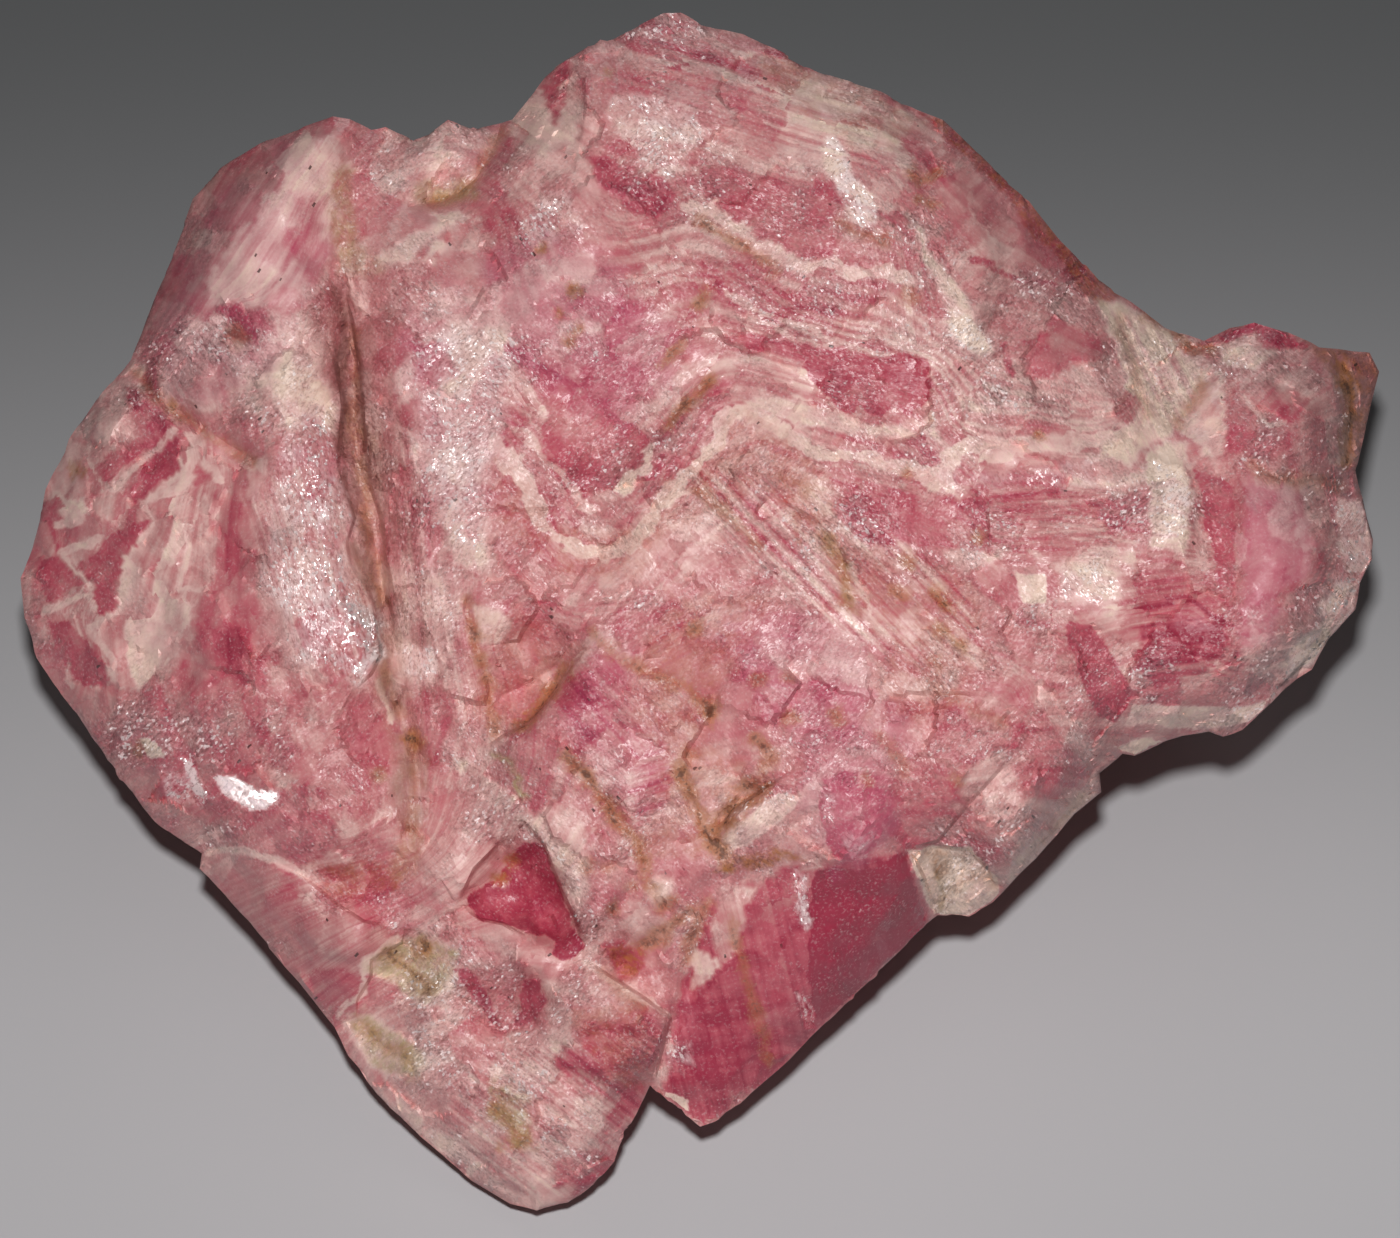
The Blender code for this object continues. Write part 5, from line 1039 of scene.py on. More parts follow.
class ShaderGraph:
    """One material's node tree and the short ways to add to it."""

    def __init__(self, name: str) -> None:
        """Starts an empty material.

        Args:
            name: the material's name.
        """
        self.material = bpy.data.materials.new(name)
        self.material.use_nodes = True
        self.tree = self.material.node_tree
        self.tree.nodes.clear()
        self.coordinates: Socket | None = None

    def add(self, kind: str, settings: dict[str, Any] | None = None,
            inputs: dict[Any, Any] | None = None, output: Any = None) -> Socket:
        """Adds a node.

        Args:
            kind: the node's type.
            settings: properties set before the sockets; "stops" fills a ramp with (place, colour).
            inputs: a value or a Socket for each input, by name or number.
            output: the output wanted, by name or number; the first enabled one by default.

        Returns:
            The wanted output.
        """
        node = self.tree.nodes.new(kind)
        for key, value in (settings or {}).items():
            if key == "stops":
                ramp = node.color_ramp
                while len(ramp.elements) < len(value):
                    ramp.elements.new(1.0)
                for element, (place, colour) in zip(ramp.elements, value):
                    element.position = place
                    element.color = (*colour, 1.0)
            else:
                setattr(node, key, value)
        usable = [socket for socket in node.inputs if socket.enabled]
        for key, value in (inputs or {}).items():
            target = node.inputs[key] if isinstance(key, int) else next(
                socket for socket in usable if socket.name == key)
            if isinstance(value, Socket):
                self.tree.links.new(value.link, target)
            else:
                target.default_value = value
        outputs = [socket for socket in node.outputs if socket.enabled]
        if isinstance(output, str):
            return Socket(self, next(socket for socket in outputs if socket.name == output))
        return Socket(self, outputs[output or 0])

    def attribute(self, name: str) -> Socket:
        """A number stored on the mesh's points."""
        return self.add("ShaderNodeAttribute", {"attribute_name": name}, output="Fac")

    def millimetres(self) -> Socket:
        """The object's own coordinates.

        Returns:
            A position in millimetres.
        """
        if self.coordinates is None:
            place = self.add("ShaderNodeTexCoord", output="Object")
            self.coordinates = self.add("ShaderNodeVectorMath", {"operation": "SCALE"},
                                        {0: place, "Scale": 1.0 / MM})
        return self.coordinates

    def noise(self, size: float, detail: float = 2.0, roughness: float = 0.55) -> Socket:
        """Smooth noise in space.

        Args:
            size: size of one lump in millimetres.
            detail: how many finer layers it has.
            roughness: how strong each finer layer is.

        Returns:
            A number from about -0.5 to 0.5.
        """
        return self.add("ShaderNodeTexNoise", {}, {
            "Vector": self.millimetres(), "Scale": 1.0 / size, "Detail": detail,
            "Roughness": roughness}) - 0.5

    def stripes(self, along: Socket, size: float, detail: float = 1.0) -> Socket:
        """Noise from about -0.5 to 0.5 that varies along one coordinate only."""
        return self.add("ShaderNodeTexNoise", {"noise_dimensions": "1D"}, {
            "W": along, "Scale": 1.0 / size, "Detail": detail}) - 0.5

    def mix(self, amount: Number, first: Any, second: Any) -> Socket:
        """Blend of two colours.

        Args:
            amount: share of the second, from 0 to 1.
            first: a Socket, or a colour as three linear numbers.
            second: the same.

        Returns:
            The colour.
        """
        plain = {key: (*value, 1.0) for key, value in ((6, first), (7, second))
                 if not isinstance(value, Socket)}
        linked = {key: value for key, value in ((6, first), (7, second))
                  if isinstance(value, Socket)}
        return self.add("ShaderNodeMix", {"data_type": "RGBA"}, {0: amount, **plain, **linked})

    def laid(self, stretch: float) -> Socket:
        """Coordinates in millimetres across and along the ruled lines, shortened along them."""
        return self.add("ShaderNodeCombineXYZ", {}, {
            0: self.attribute("ruling"), 1: self.attribute("lengthwise") * stretch})

    def streaks(self, size: float, stretch: float) -> Socket:
        """Noise from about -0.5 to 0.5 in short strokes along the ruled lines."""
        return self.add("ShaderNodeTexNoise", {"noise_dimensions": "2D"}, {
            "Vector": self.laid(stretch), "Scale": 1.0 / size, "Detail": 2.0}) - 0.5

    def facets(self, size: float, stretch: float) -> tuple[Socket, Socket, Socket]:
        """Random flat facets that lie along the ruled lines.

        Args:
            size: width of one facet in millimetres.
            stretch: its width as a share of its length.

        Returns:
            A random number for each facet, the height in millimetres of its tilted plane, and
            the distance from the facet's middle in millimetres.
        """
        place = self.laid(stretch)
        settings = {"feature": "F1", "distance": "CHEBYCHEV", "voronoi_dimensions": "2D"}
        inputs = {"Vector": place, "Scale": 1.0 / size, "Randomness": 1.0}
        colour = self.add("ShaderNodeTexVoronoi", settings, inputs, "Color")
        node = colour.link.node
        centre = Socket(self, node.outputs["Position"])
        lean = self.add("ShaderNodeVectorMath", {"operation": "SUBTRACT"},
                        {0: colour, 1: (0.5, 0.5, 0.5)})
        away = self.add("ShaderNodeVectorMath", {"operation": "SUBTRACT"}, {0: place, 1: centre})
        plane = self.add("ShaderNodeVectorMath", {"operation": "DOT_PRODUCT"}, {0: lean, 1: away},
                         "Value")
        value = self.add("ShaderNodeSeparateColor", {}, {"Color": colour}, "Red")
        return value, plane, Socket(self, node.outputs["Distance"]) * size

    def bump(self, height: Socket, strength: Number, below: Socket) -> Socket:
        """Surface tilt from a height.

        Args:
            height: in millimetres.
            strength: 1 for the tilt that the height gives.
            below: the surface direction that it tilts.

        Returns:
            The tilted direction.
        """
        return self.add("ShaderNodeBump", {}, {"Height": height, "Strength": strength,
                                               "Distance": MM, "Normal": below})

    def leaning(self, normal: Socket, direction: Triple, share: Socket) -> Socket:
        """Surface direction pulled towards one fixed direction.

        Args:
            normal: the surface direction.
            direction: the fixed one.
            share: how far it is pulled, from 0 to 1.

        Returns:
            The new direction.
        """
        pulled = self.add("ShaderNodeMix", {"data_type": "VECTOR"},
                          {0: share, 4: normal, 5: direction})
        return self.add("ShaderNodeVectorMath", {"operation": "NORMALIZE"}, {0: pulled})

    def surface(self, settings: dict[str, Any]) -> None:
        """Ends the material with a Principled surface with these inputs."""
        shader = self.add("ShaderNodeBsdfPrincipled", {}, settings)
        self.add_output(shader)

    def add_output(self, shader: Socket) -> None:
        """Joins a shader to the material's output."""
        target = self.tree.nodes.new("ShaderNodeOutputMaterial")
        self.tree.links.new(shader.link, target.inputs["Surface"])


def linear(red: int, green: int, blue: int) -> Triple:
    """Linear colour from the usual 0 to 255 values.

    Args:
        red: share of red, times 255.
        green: the same for green.
        blue: the same for blue.

    Returns:
        Three shares from 0 to 1.
    """
    shares = [value / 255.0 for value in (red, green, blue)]
    return tuple(share / 12.92 if share <= 0.04045 else ((share + 0.055) / 1.055) ** 2.4
                 for share in shares)


@dataclass(frozen=True)
class BandedRhodochrosite:
    """Finish of the broken stone: cream to deep rose bands, iron stains, dirt, pearly cleavage;
    painted highlights, and painted shade in crevices and hollows.
    """

    cream: Shade = (250, 219, 199)
    pale_pink: Shade = (238, 192, 184)
    pink: Shade = (211, 141, 140)
    rose: Shade = (194, 88, 102)
    deep_rose: Shade = (164, 48, 72)
    magenta_shift: Shade = (200, 92, 142)
    orange_stain: Shade = (176, 110, 54)
    # dark stain colour of cracks and specks; also the painted shade in hollows
    dark_stain_and_shade: Shade = (56, 30, 24)
    olive: Shade = (176, 158, 108)
    # near-white colour of the painted highlights: glints, frost, sheen and sugary sparkle
    painted_glint: Shade = (255, 240, 238)
    # colour of the painted shade in crevices and pits
    painted_crevice_shade: Shade = (96, 38, 40)
    wall_mauve: Shade = (148, 101, 100)
    wall_brown: Shade = (120, 90, 74)
    cleavage_direction: Triple = (0.0, -0.475, 0.88)
    # sizes in millimetres
    fleck_size: float = 0.26
    grain_size: float = 1.3
    patch_size: float = 3.6
    cloud_size: float = 7.0
    glitter_size: float = 0.21
    facet_size: float = 0.95
    ruling_gap: float = 0.62
    band_widths: tuple[float, float] = (2.0, 0.7)
    # how far each layer covers what lies under it
    cool_cover: float = 0.2
    olive_cover: float = 0.75
    crust_and_shade_cover: float = 0.74
    stain_cover: float = 0.75
    halo_cover: float = 0.78
    crack_cover: float = 0.8
    # painted shade in hollows
    hollow_shade_cover: float = 0.3
    speck_cover: float = 0.85
    # painted highlights
    painted_frost_cover: float = 0.16
    painted_sheen_cover: float = 0.66
    painted_glint_cover: float = 0.7
    painted_sugar_cover: float = 0.48
    # painted shade in crevices
    painted_crevice_cover: float = 0.42
    # facets whose random number is above this are specked or smooth
    speck_above: float = 0.955
    smooth_above: float = 0.6
    base_roughness: float = 0.5
    refraction: float = 1.6

    def material(self) -> bpy.types.Material:
        """Lays bands, stains, dirt, painted highlights and painted shade over one another.

        Returns:
            The stone's material.
        """
        graph = ShaderGraph("banded_rhodochrosite")
        growth, wall = graph.attribute("growth"), graph.attribute("wall")
        raw_pearl = graph.attribute("pearl")
        pearl = raw_pearl.clamped()
        sparkle = graph.attribute("sparkle")
        grain = graph.noise(self.grain_size, 2.0)
        fleck = graph.noise(self.fleck_size, 2.0)
        patchy = graph.noise(self.patch_size, 2.0, 0.6)
        streak = graph.streaks(self.fleck_size, 0.4)
        fine_value, fine_plane, fine_middle = graph.facets(self.facet_size, 0.55)
        glitter_value, glitter_plane, _ = graph.facets(self.glitter_size, 0.85)
        broad = graph.noise(self.cloud_size, 1.0)

        warped = growth + grain * 0.25
        clarity = broad.between(-0.28, 0.22)
        wide, narrow = self.band_widths
        bands = ((graph.stripes(warped, wide).between(-0.16, 0.16) - 0.5) * 0.42
                 + (graph.stripes(warped, narrow, 2.0).between(-0.24, 0.24) - 0.5) * 0.5
                 * (0.3 + 0.7 * clarity)) * graph.attribute("banded")
        fine_lines = graph.stripes(graph.attribute("ruling"), self.ruling_gap, 2.0)
        rulings = fine_lines * 2.0 * graph.attribute("ruling_strength")
        tone = (graph.attribute("tone") + 0.1 + (bands * 0.9 + streak * 0.12) * (1.0 - wall)
                + rulings + patchy * 0.42 + grain * 0.14 + (fine_value - 0.5) * 0.12)
        line = (graph.attribute("line_gap") + grain * 0.7 + patchy * 0.35 + bands * 0.1
                + streak * 0.3 - 0.06).between(-0.15, 0.15)
        mottle = patchy * 0.9 + grain * 0.7 + streak * 0.4
        tone = tone * (1.0 - 0.85 * line) + line * (graph.attribute("line_value") * 0.78 + mottle)
        colour = graph.add("ShaderNodeValToRGB", {"stops": [
            (0.06, linear(*self.cream)), (0.32, linear(*self.pale_pink)),
            (0.54, linear(*self.pink)), (0.79, linear(*self.rose)),
            (0.99, linear(*self.deep_rose))]}, {"Fac": tone * 0.5 + 0.5}, "Color")

        cool = (graph.attribute("cool") - broad * 0.8).clamped()
        colour = graph.mix(cool * self.cool_cover, colour, linear(*self.magenta_shift))
        uneven = 0.9 + grain * 2.6 + patchy * 2.4 + streak * 1.4
        olive = (graph.attribute("olive") * uneven).clamped()
        colour = graph.mix(olive * self.olive_cover, colour, linear(*self.olive))
        # crust on the weathered walls and rims; along the gully the same mix is painted shade
        crust_and_shade = (wall * (0.72 + broad * 0.8 + patchy * 0.9)).clamped()
        crust = graph.mix((patchy * 3.0 + 0.5).clamped(),
                          linear(*self.wall_mauve), linear(*self.wall_brown))
        colour = graph.mix(crust_and_shade * self.crust_and_shade_cover, colour, crust)
        soft_stain = (graph.attribute("stain") * (0.7 + grain * 3.0 + streak * 1.6)).clamped()
        colour = graph.mix(soft_stain * self.stain_cover, colour, linear(*self.orange_stain))
        depth = graph.attribute("stain_value")
        broken = graph.attribute("stain_gap") + grain * 1.5 + fleck * 1.2 - 0.2
        colour = graph.mix(broken.between(-0.8, 0.16) * depth * self.halo_cover, colour,
                           linear(*self.orange_stain))
        crack = broken.between(0.06, 0.46)
        colour = graph.mix(crack * depth * self.crack_cover, colour, linear(*self.dark_stain_and_shade))
        # painted shade: darker in the face's hollows
        hollow = graph.attribute("hollow").between(0.45, 1.0)
        colour = graph.mix(hollow * self.hollow_shade_cover, colour, linear(*self.dark_stain_and_shade))
        specks = ((fine_value > self.speck_above)
                  * (0.1 + grain * 0.2 - fine_middle).between(0.0, 0.03)
                  * broad.between(-0.06, 0.06))
        colour = graph.mix(specks * self.speck_cover, colour, linear(*self.dark_stain_and_shade))
        mirror = (raw_pearl - 1.0).clamped()
        stained = (soft_stain + crack * depth + crust_and_shade).clamped()

        # painted highlights: frost, pearly sheen (near-white on mirror facets), glints and sugary
        # sparkle lighten the colour
        painted_frost = (sparkle + streak * 1.5 + grain * 0.8 - 0.42 - stained).clamped()
        ripple = 0.3 + (fine_value - 0.5) * 0.5 + streak * 1.5 + patchy * 3.4 + grain * 1.2
        painted_sheen = (pearl * ripple + mirror * 1.6).clamped()
        painted_glint = ((glitter_value - 1.0 + painted_frost * 0.5) * 4.5).clamped()
        lively = sparkle * 0.7 + 0.36
        painted_sugar = fleck.between(0.02, 0.26) * (sparkle * 0.7 + 0.45).clamped() * (1.0 - stained)
        shine = ((painted_frost * self.painted_frost_cover).most(painted_sheen * self.painted_sheen_cover)
                 .most(painted_glint * self.painted_glint_cover).most(painted_sugar * self.painted_sugar_cover))
        colour = graph.mix(shine, colour, linear(*self.painted_glint))
        # painted shade in crevices and pits between the facets
        painted_crevice_shade = (0.0 - streak).between(0.05, 0.24) * lively
        painted_pit_shade = (0.0 - fleck).between(0.02, 0.24) * lively * 0.5
        colour = graph.mix(painted_pit_shade.most(painted_crevice_shade * self.painted_crevice_cover), colour,
                           linear(*self.painted_crevice_shade))

        roughness = (self.base_roughness + stained * 0.2 - pearl * 0.2
                     - (fine_value > self.smooth_above) * 0.12 - painted_glint * 0.2 - mirror * 0.12)
        cleaved = graph.leaning(graph.add("ShaderNodeNewGeometry", output="Normal"),
                                self.cleavage_direction,
                                (pearl * 0.85).most(painted_glint * 0.85).most(mirror))
        normal = graph.bump(fine_plane + glitter_plane * 0.9 + streak * 0.1,
                            lively * (1.0 - 0.45 * pearl - 0.5 * mirror), cleaved)
        graph.surface({"Base Color": colour, "Roughness": roughness.clamped(), "Normal": normal,
                       "IOR": self.refraction})
        return graph.material


@dataclass(frozen=True)
class PaleFloorFinish:
    """Plain pale grey table top with a painted light falloff: darker towards the back."""

    front: Shade = (189, 187, 189)
    back: Shade = (89, 90, 91)
    start: float = -0.05
    stop: float = 0.09
    roughness: float = 0.9

    def material(self) -> bpy.types.Material:
        """Paints the floor's light falloff, pale at the front and darker at the back.

        Returns:
            The floor's material.
        """
        graph = ShaderGraph("pale_floor")
        place = graph.add("ShaderNodeTexCoord", output="Object")
        along = graph.add("ShaderNodeSeparateXYZ", {}, {0: place}, "Y")
        colour = graph.mix(along.between(self.start, self.stop), linear(*self.front),
                           linear(*self.back))
        graph.surface({"Base Color": colour, "Roughness": self.roughness})
        return graph.material


# ---- the stone ----
@dataclass
class MarkingField:
    """Works out the markings at points of the face."""

    mean_level: float = -18.0
    line_reach: float = 2.0
    line_margin: float = 0.12
    crisp_strength: float = 1.3
    cleavage_turns: tuple[float, float] = (43.0, -50.0)

    def raggedness(self, points: Array) -> Array:
        """How far the facets put the edge of a marking out of line.

        Args:
            points: rows of (u, v).

        Returns:
            Millimetres in u and v, one row for each point.
        """
        return (np.column_stack([lumps(points, 2.1, 31), lumps(points, 2.1, 32)]) * 0.3
                + np.column_stack([lumps(points, 0.8, 33), lumps(points, 0.8, 34)]) * 0.2
                + BLOCKS.values(points, 20, 21) * 0.5 + SMALL_BLOCKS.values(points, 20, 21) * 0.5
                + CRUMBS.values(points, 20, 21) * 0.3)

    def soft_layer(self, points: Array, layer: Layer) -> Array:
        """A layer's value from its patches, laid over one another in order.

        Args:
            points: rows of (u, v).
            layer: which layer.

        Returns:
            One value for each point.
        """
        total = np.zeros(len(points))
        wobble = self.raggedness(points)
        for patch in PATCHES:
            if patch.layer is layer and not patch.crisp:
                cover = patch.weight(points + wobble * min(1.0, 1.1 * patch.softness))
                total = total * (1.0 - cover) + patch.value * cover
        if layer in (PEARL, OLIVE, CRUST):
            for vein in VEINS:
                if vein.layer is layer:
                    total = np.maximum(total, vein.value * vein.weight(points + 0.5 * wobble))
        for kind, value, u, v, radius in SPOTS:
            if kind is layer and kind is not STAIN:
                cover = ease(1.4 - np.hypot(points[:, 0] - u, points[:, 1] - v) / radius)
                total = total * (1.0 - cover) + value * cover
        return total

    def line_layer(self, points: Array, layer: Layer) -> tuple[Array, Array]:
        """A layer's sharp-edged marks.

        Args:
            points: rows of (u, v).
            layer: which layer.

        Returns:
            How far inside the nearest vein, crisp patch or spot each point is, and its value.
        """
        gap = np.full(len(points), -self.line_reach)
        value = np.zeros(len(points))
        moved = points + 0.22 * np.column_stack([lumps(points, 1.3, 41), lumps(points, 1.3, 42)])
        ragged = self.raggedness(points)

        def lay(inside: Array, close: Array, strength: float) -> None:
            """Keeps a mark's depth and value where points lie deeper in it than in others.

            Args:
                inside: depth of each close point in the mark.
                close: which points are close.
                strength: the mark's value.
            """
            deeper = inside > gap[close]
            chosen = np.flatnonzero(close)[deeper]
            gap[chosen] = inside[deeper]
            value[chosen] = strength

        for vein in (vein for vein in VEINS if vein.layer is layer):
            place = moved + ragged * min(1.0, max(0.0, 0.9 * vein.width - 0.3))
            edge = 0.5 * vein.width + self.line_margin
            close = near(place, vein.path, edge + self.line_reach)
            lay(edge - path_distance(place[close], vein.path), close, vein.value)
        place = moved + 0.12 * ragged
        for patch in (patch for patch in PATCHES if patch.layer is layer and patch.crisp):
            close = near(place, patch.outline, self.line_reach)
            lay(polygon_depth(place[close], patch.outline), close,
                self.crisp_strength * patch.value)
        for kind, strength, u, v, radius in SPOTS:
            if kind is layer and kind is STAIN:
                close = near(moved, [(u, v)], radius + self.line_reach)
                lay(radius - np.hypot(moved[close, 0] - u, moved[close, 1] - v), close, strength)
        return gap, value

    def growth(self, points: Array) -> Array:
        """The growth bands' coordinate, a smooth surface through the growth lines' levels.

        Args:
            points: rows of (u, v).

        Returns:
            Millimetres across the bands.
        """
        places, levels = [], []
        for line in GROWTH_LINES:
            for start, stop in zip(line.path[:-1], line.path[1:]):
                for share in (0.0, 0.5):
                    places.append([start[axis] + share * (stop[axis] - start[axis])
                                   for axis in range(2)])
                    levels.append(line.level)
            places.append(list(line.path[-1]))
            levels.append(line.level)
        anchors, heights = np.array(places), np.array(levels, dtype=float)
        reach = np.hypot(*(anchors[:, None] - anchors[None]).transpose(2, 0, 1))
        system = -reach + 0.4 * np.eye(len(anchors))
        weights = np.linalg.solve(system, heights - self.mean_level)
        result = np.zeros(len(points))
        for (u, v), weight in zip(anchors, weights):
            result -= weight * np.hypot(points[:, 0] - u, points[:, 1] - v)
        return result + self.mean_level

    def across(self, points: Array, direction_deg: Array) -> Array:
        """Coordinate across lines of the points' directions, in degrees from +u."""
        angle = np.radians(direction_deg) + 0.5 * math.pi
        return points[:, 0] * np.cos(angle) + points[:, 1] * np.sin(angle)

    def rulings(self, points: Array) -> tuple[Array, Array]:
        """The ruled lines' layout.

        Args:
            points: rows of (u, v).

        Returns:
            Direction of the lines in degrees from +u, and how strongly they show.
        """
        turn = np.where(BLOCKS.values(points, 31)[:, 0] > 0.0, *self.cleavage_turns)
        turn += 6.0 * SMALL_BLOCKS.values(points, 33)[:, 0]
        strength = 0.1 + 0.1 * SMALL_BLOCKS.values(points, 32)[:, 0]
        for area in STRIATIONS:
            cover = Patch(area.name, TONE, 1.0, area.outline, 0.8).weight(points)
            inside = cover * area.strength > strength
            turn = np.where(inside, area.direction_deg, turn)
            strength = np.where(inside, cover * area.strength, strength)
        return turn, strength


@dataclass
class Stone:
    """The broken specimen, refined from the solid that it stands for."""

    frame_of_face: FaceFrame = field(default_factory=FaceFrame)
    markings: MarkingField = field(default_factory=MarkingField)
    # edge lengths and depths in millimetres
    face_edge: float = 0.52
    wall_edge: float = 1.25
    base_edge: float = 4.0
    base_height: float = 0.02
    passes: int = 5
    step_rounds: int = 10
    step_keep: float = 1.2
    blend_rounds: int = 16
    hollow_rounds: int = 14
    hollow_full: float = 1.1
    crack_depth: float = 0.22
    ruling_relief: float = 0.08
    band_relief: float = 0.05
    wall_rise: float = 0.25
    sharp_deg: float = 30.0

    def build(self) -> bpy.types.Object:
        """Makes the piece, with its markings stored on its points.

        Returns:
            The piece, not yet dressed.
        """
        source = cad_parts["rhodochrosite_stone"]
        mesh = TriangleMesh.from_object(source)
        side = self.face_share(mesh)
        self.refine(mesh, side)
        share = self.face_share(mesh)
        # steep steps within the face count as face, not as wall
        share = np.maximum(share, ease((mesh.averaged(share, 30) - 0.62) / 0.2))
        hollow = self.shape_face(mesh, share)
        self.shape_walls(mesh, share)
        piece = mesh.to_object("rhodochrosite_specimen")
        self.store(piece, mesh, share, hollow)
        piece.data.shade_smooth()
        piece.data.set_sharp_from_angle(angle=math.radians(self.sharp_deg))
        LOG.info("stone: %d triangles", len(mesh.triangles))
        return piece

    def face_share(self, mesh: TriangleMesh) -> Array:
        """1 on the broken face, 0 on the walls and the base, blurred a little over the rim."""
        normals = mesh.normals() @ self.frame_of_face.axes.T
        return ease((mesh.averaged(normals[:, 2], 2) + 0.1) / 0.3)

    def refine(self, mesh: TriangleMesh, side: Array) -> None:
        """Splits edges until each zone has its own edge length.

        Args:
            mesh: the stone, split in place.
            side: how much of each point belongs to the face.
        """
        share = side
        for _ in range(self.passes):
            edges, _ = mesh.edges()
            middle_share = 0.5 * (share[edges[:, 0]] + share[edges[:, 1]])
            heights = 0.5 * (mesh.points[edges[:, 0], 2] + mesh.points[edges[:, 1], 2])
            wanted = np.where(middle_share > 0.45, self.face_edge, self.wall_edge)
            wanted = np.where(heights < self.base_height * MM, self.base_edge, wanted) * 1.42 * MM
            long = np.linalg.norm(mesh.points[edges[:, 0]] - mesh.points[edges[:, 1]],
                                  axis=1) > wanted
            if not mesh.split(wanted):
                break
            share = np.concatenate([share, middle_share[long]])

    def shape_face(self, mesh: TriangleMesh, share: Array) -> Array:
        """Adds cleavage facets, steps, streaks and grain to the broken face.

        Args:
            mesh: the refined stone.
            share: how much of each point belongs to the face.

        Returns:
            How deep each point lies in a hollow, from 0 to 1.
        """
        place = self.frame_of_face.to_face(mesh.points)
        smooth = mesh.averaged(place[:, 2], self.step_rounds, self.step_keep)
        place[:, 2] += share * (smooth - place[:, 2])
        blended = self.covered(place[:, :2], BLENDED_STEPS, 1.5) * share
        for axis in range(3):
            place[:, axis] += blended * (mesh.averaged(place[:, axis], self.blend_rounds)
                                         - place[:, axis])
        flat = place[:, :2].copy()
        pearl = np.clip(self.markings.soft_layer(flat, PEARL), 0.0, 1.0)
        calm = 1.0 - 0.75 * self.covered(flat, CALM_PLANES, 1.6)
        turn, ruled_strength = self.markings.rulings(flat)
        ruled = self.markings.across(flat, turn)
        detail = BLOCKS.height(flat) * calm
        detail += SMALL_BLOCKS.height(flat) * calm * (1.0 - 0.6 * pearl)
        detail += CRUMBS.height(flat) * (0.4 + 0.6 * calm)
        detail += 0.05 * lumps(flat, 1.6, 290) * calm + 0.03 * lumps(flat, 0.7, 291)
        one_way = np.array([[1.0, 0.0]])
        detail += self.ruling_relief * ruled_strength * lumps(ruled[:, None] * one_way, 0.8, 300)
        growth = self.markings.growth(flat) + self.band_shift(flat)
        detail += self.band_relief * calm * lumps(growth[:, None] * one_way, 1.0, 310)
        crack_gap, crack_value = self.markings.line_layer(flat, STAIN)
        groove = ease((crack_gap + 0.35) / 0.6) * crack_value
        detail -= self.crack_depth * groove * (1.0 + 0.8 * lumps(flat, 1.1, 320))
        place[:, 2] += share * detail
        sunk = mesh.averaged(place[:, 2], self.hollow_rounds) - place[:, 2]
        hollow = np.clip(sunk / self.hollow_full, 0.0, 1.0) * share
        mesh.points = self.frame_of_face.to_world(place)
        return hollow

    def band_shift(self, flat: Array) -> Array:
        """Millimetres that each block's growth bands are out of line with the next block's."""
        return (0.8 * BLOCKS.values(flat, 25) + 0.4 * SMALL_BLOCKS.values(flat, 25))[:, 0]

    def sparkle(self, flat: Array) -> Array:
        """How thickly tiny shining facets lie.

        Args:
            flat: rows of (u, v).

        Returns:
            1 for everywhere, 0 for few, less for none.
        """
        clusters = 0.34 + 0.4 * lumps(flat, 4.5, 501) + (
            0.24 * BLOCKS.values(flat, 35) + 0.26 * SMALL_BLOCKS.values(flat, 35)
            + 0.2 * CRUMBS.values(flat, 35))[:, 0]
        pearl = self.markings.soft_layer(flat, PEARL)
        return np.clip(clusters + pearl, -0.3, 1.0)

    def covered(self, flat: Array, outlines: list[Path], softness: float) -> Array:
        """Which points the outlines cover.

        Args:
            flat: rows of (u, v).
            outlines: closed outlines.
            softness: width of their edges in millimetres.

        Returns:
            1 inside any outline, 0 elsewhere.
        """
        cover = np.zeros(len(flat))
        for outline in outlines:
            cover = np.maximum(cover, Patch("area", TONE, 1.0, outline, softness).weight(flat))
        return cover

    def shape_walls(self, mesh: TriangleMesh, share: Array) -> None:
        """Roughens the weathered sides and the underside above the flat base.

        Args:
            mesh: the refined stone, changed in place.
            share: how much of each point belongs to the face.
        """
        normals = mesh.normals()
        place = mesh.points / MM
        depth = WALL_BLOCKS.height(place) + SMALL_WALL_BLOCKS.height(place)
        depth += 0.25 * lumps(place, 1.9, 460) + 0.5 * lumps(place, 5.0, 461)
        depth = np.minimum(depth, self.wall_rise)
        above = ease((place[:, 2] - 0.3) / 3.0)
        strength = (1.0 - np.clip(1.6 * mesh.averaged(share, 14), 0.0, 1.0)) * above
        mesh.points = mesh.points + (depth * strength * MM)[:, None] * normals
        mesh.points[:, 2] = np.maximum(mesh.points[:, 2], 0.0)

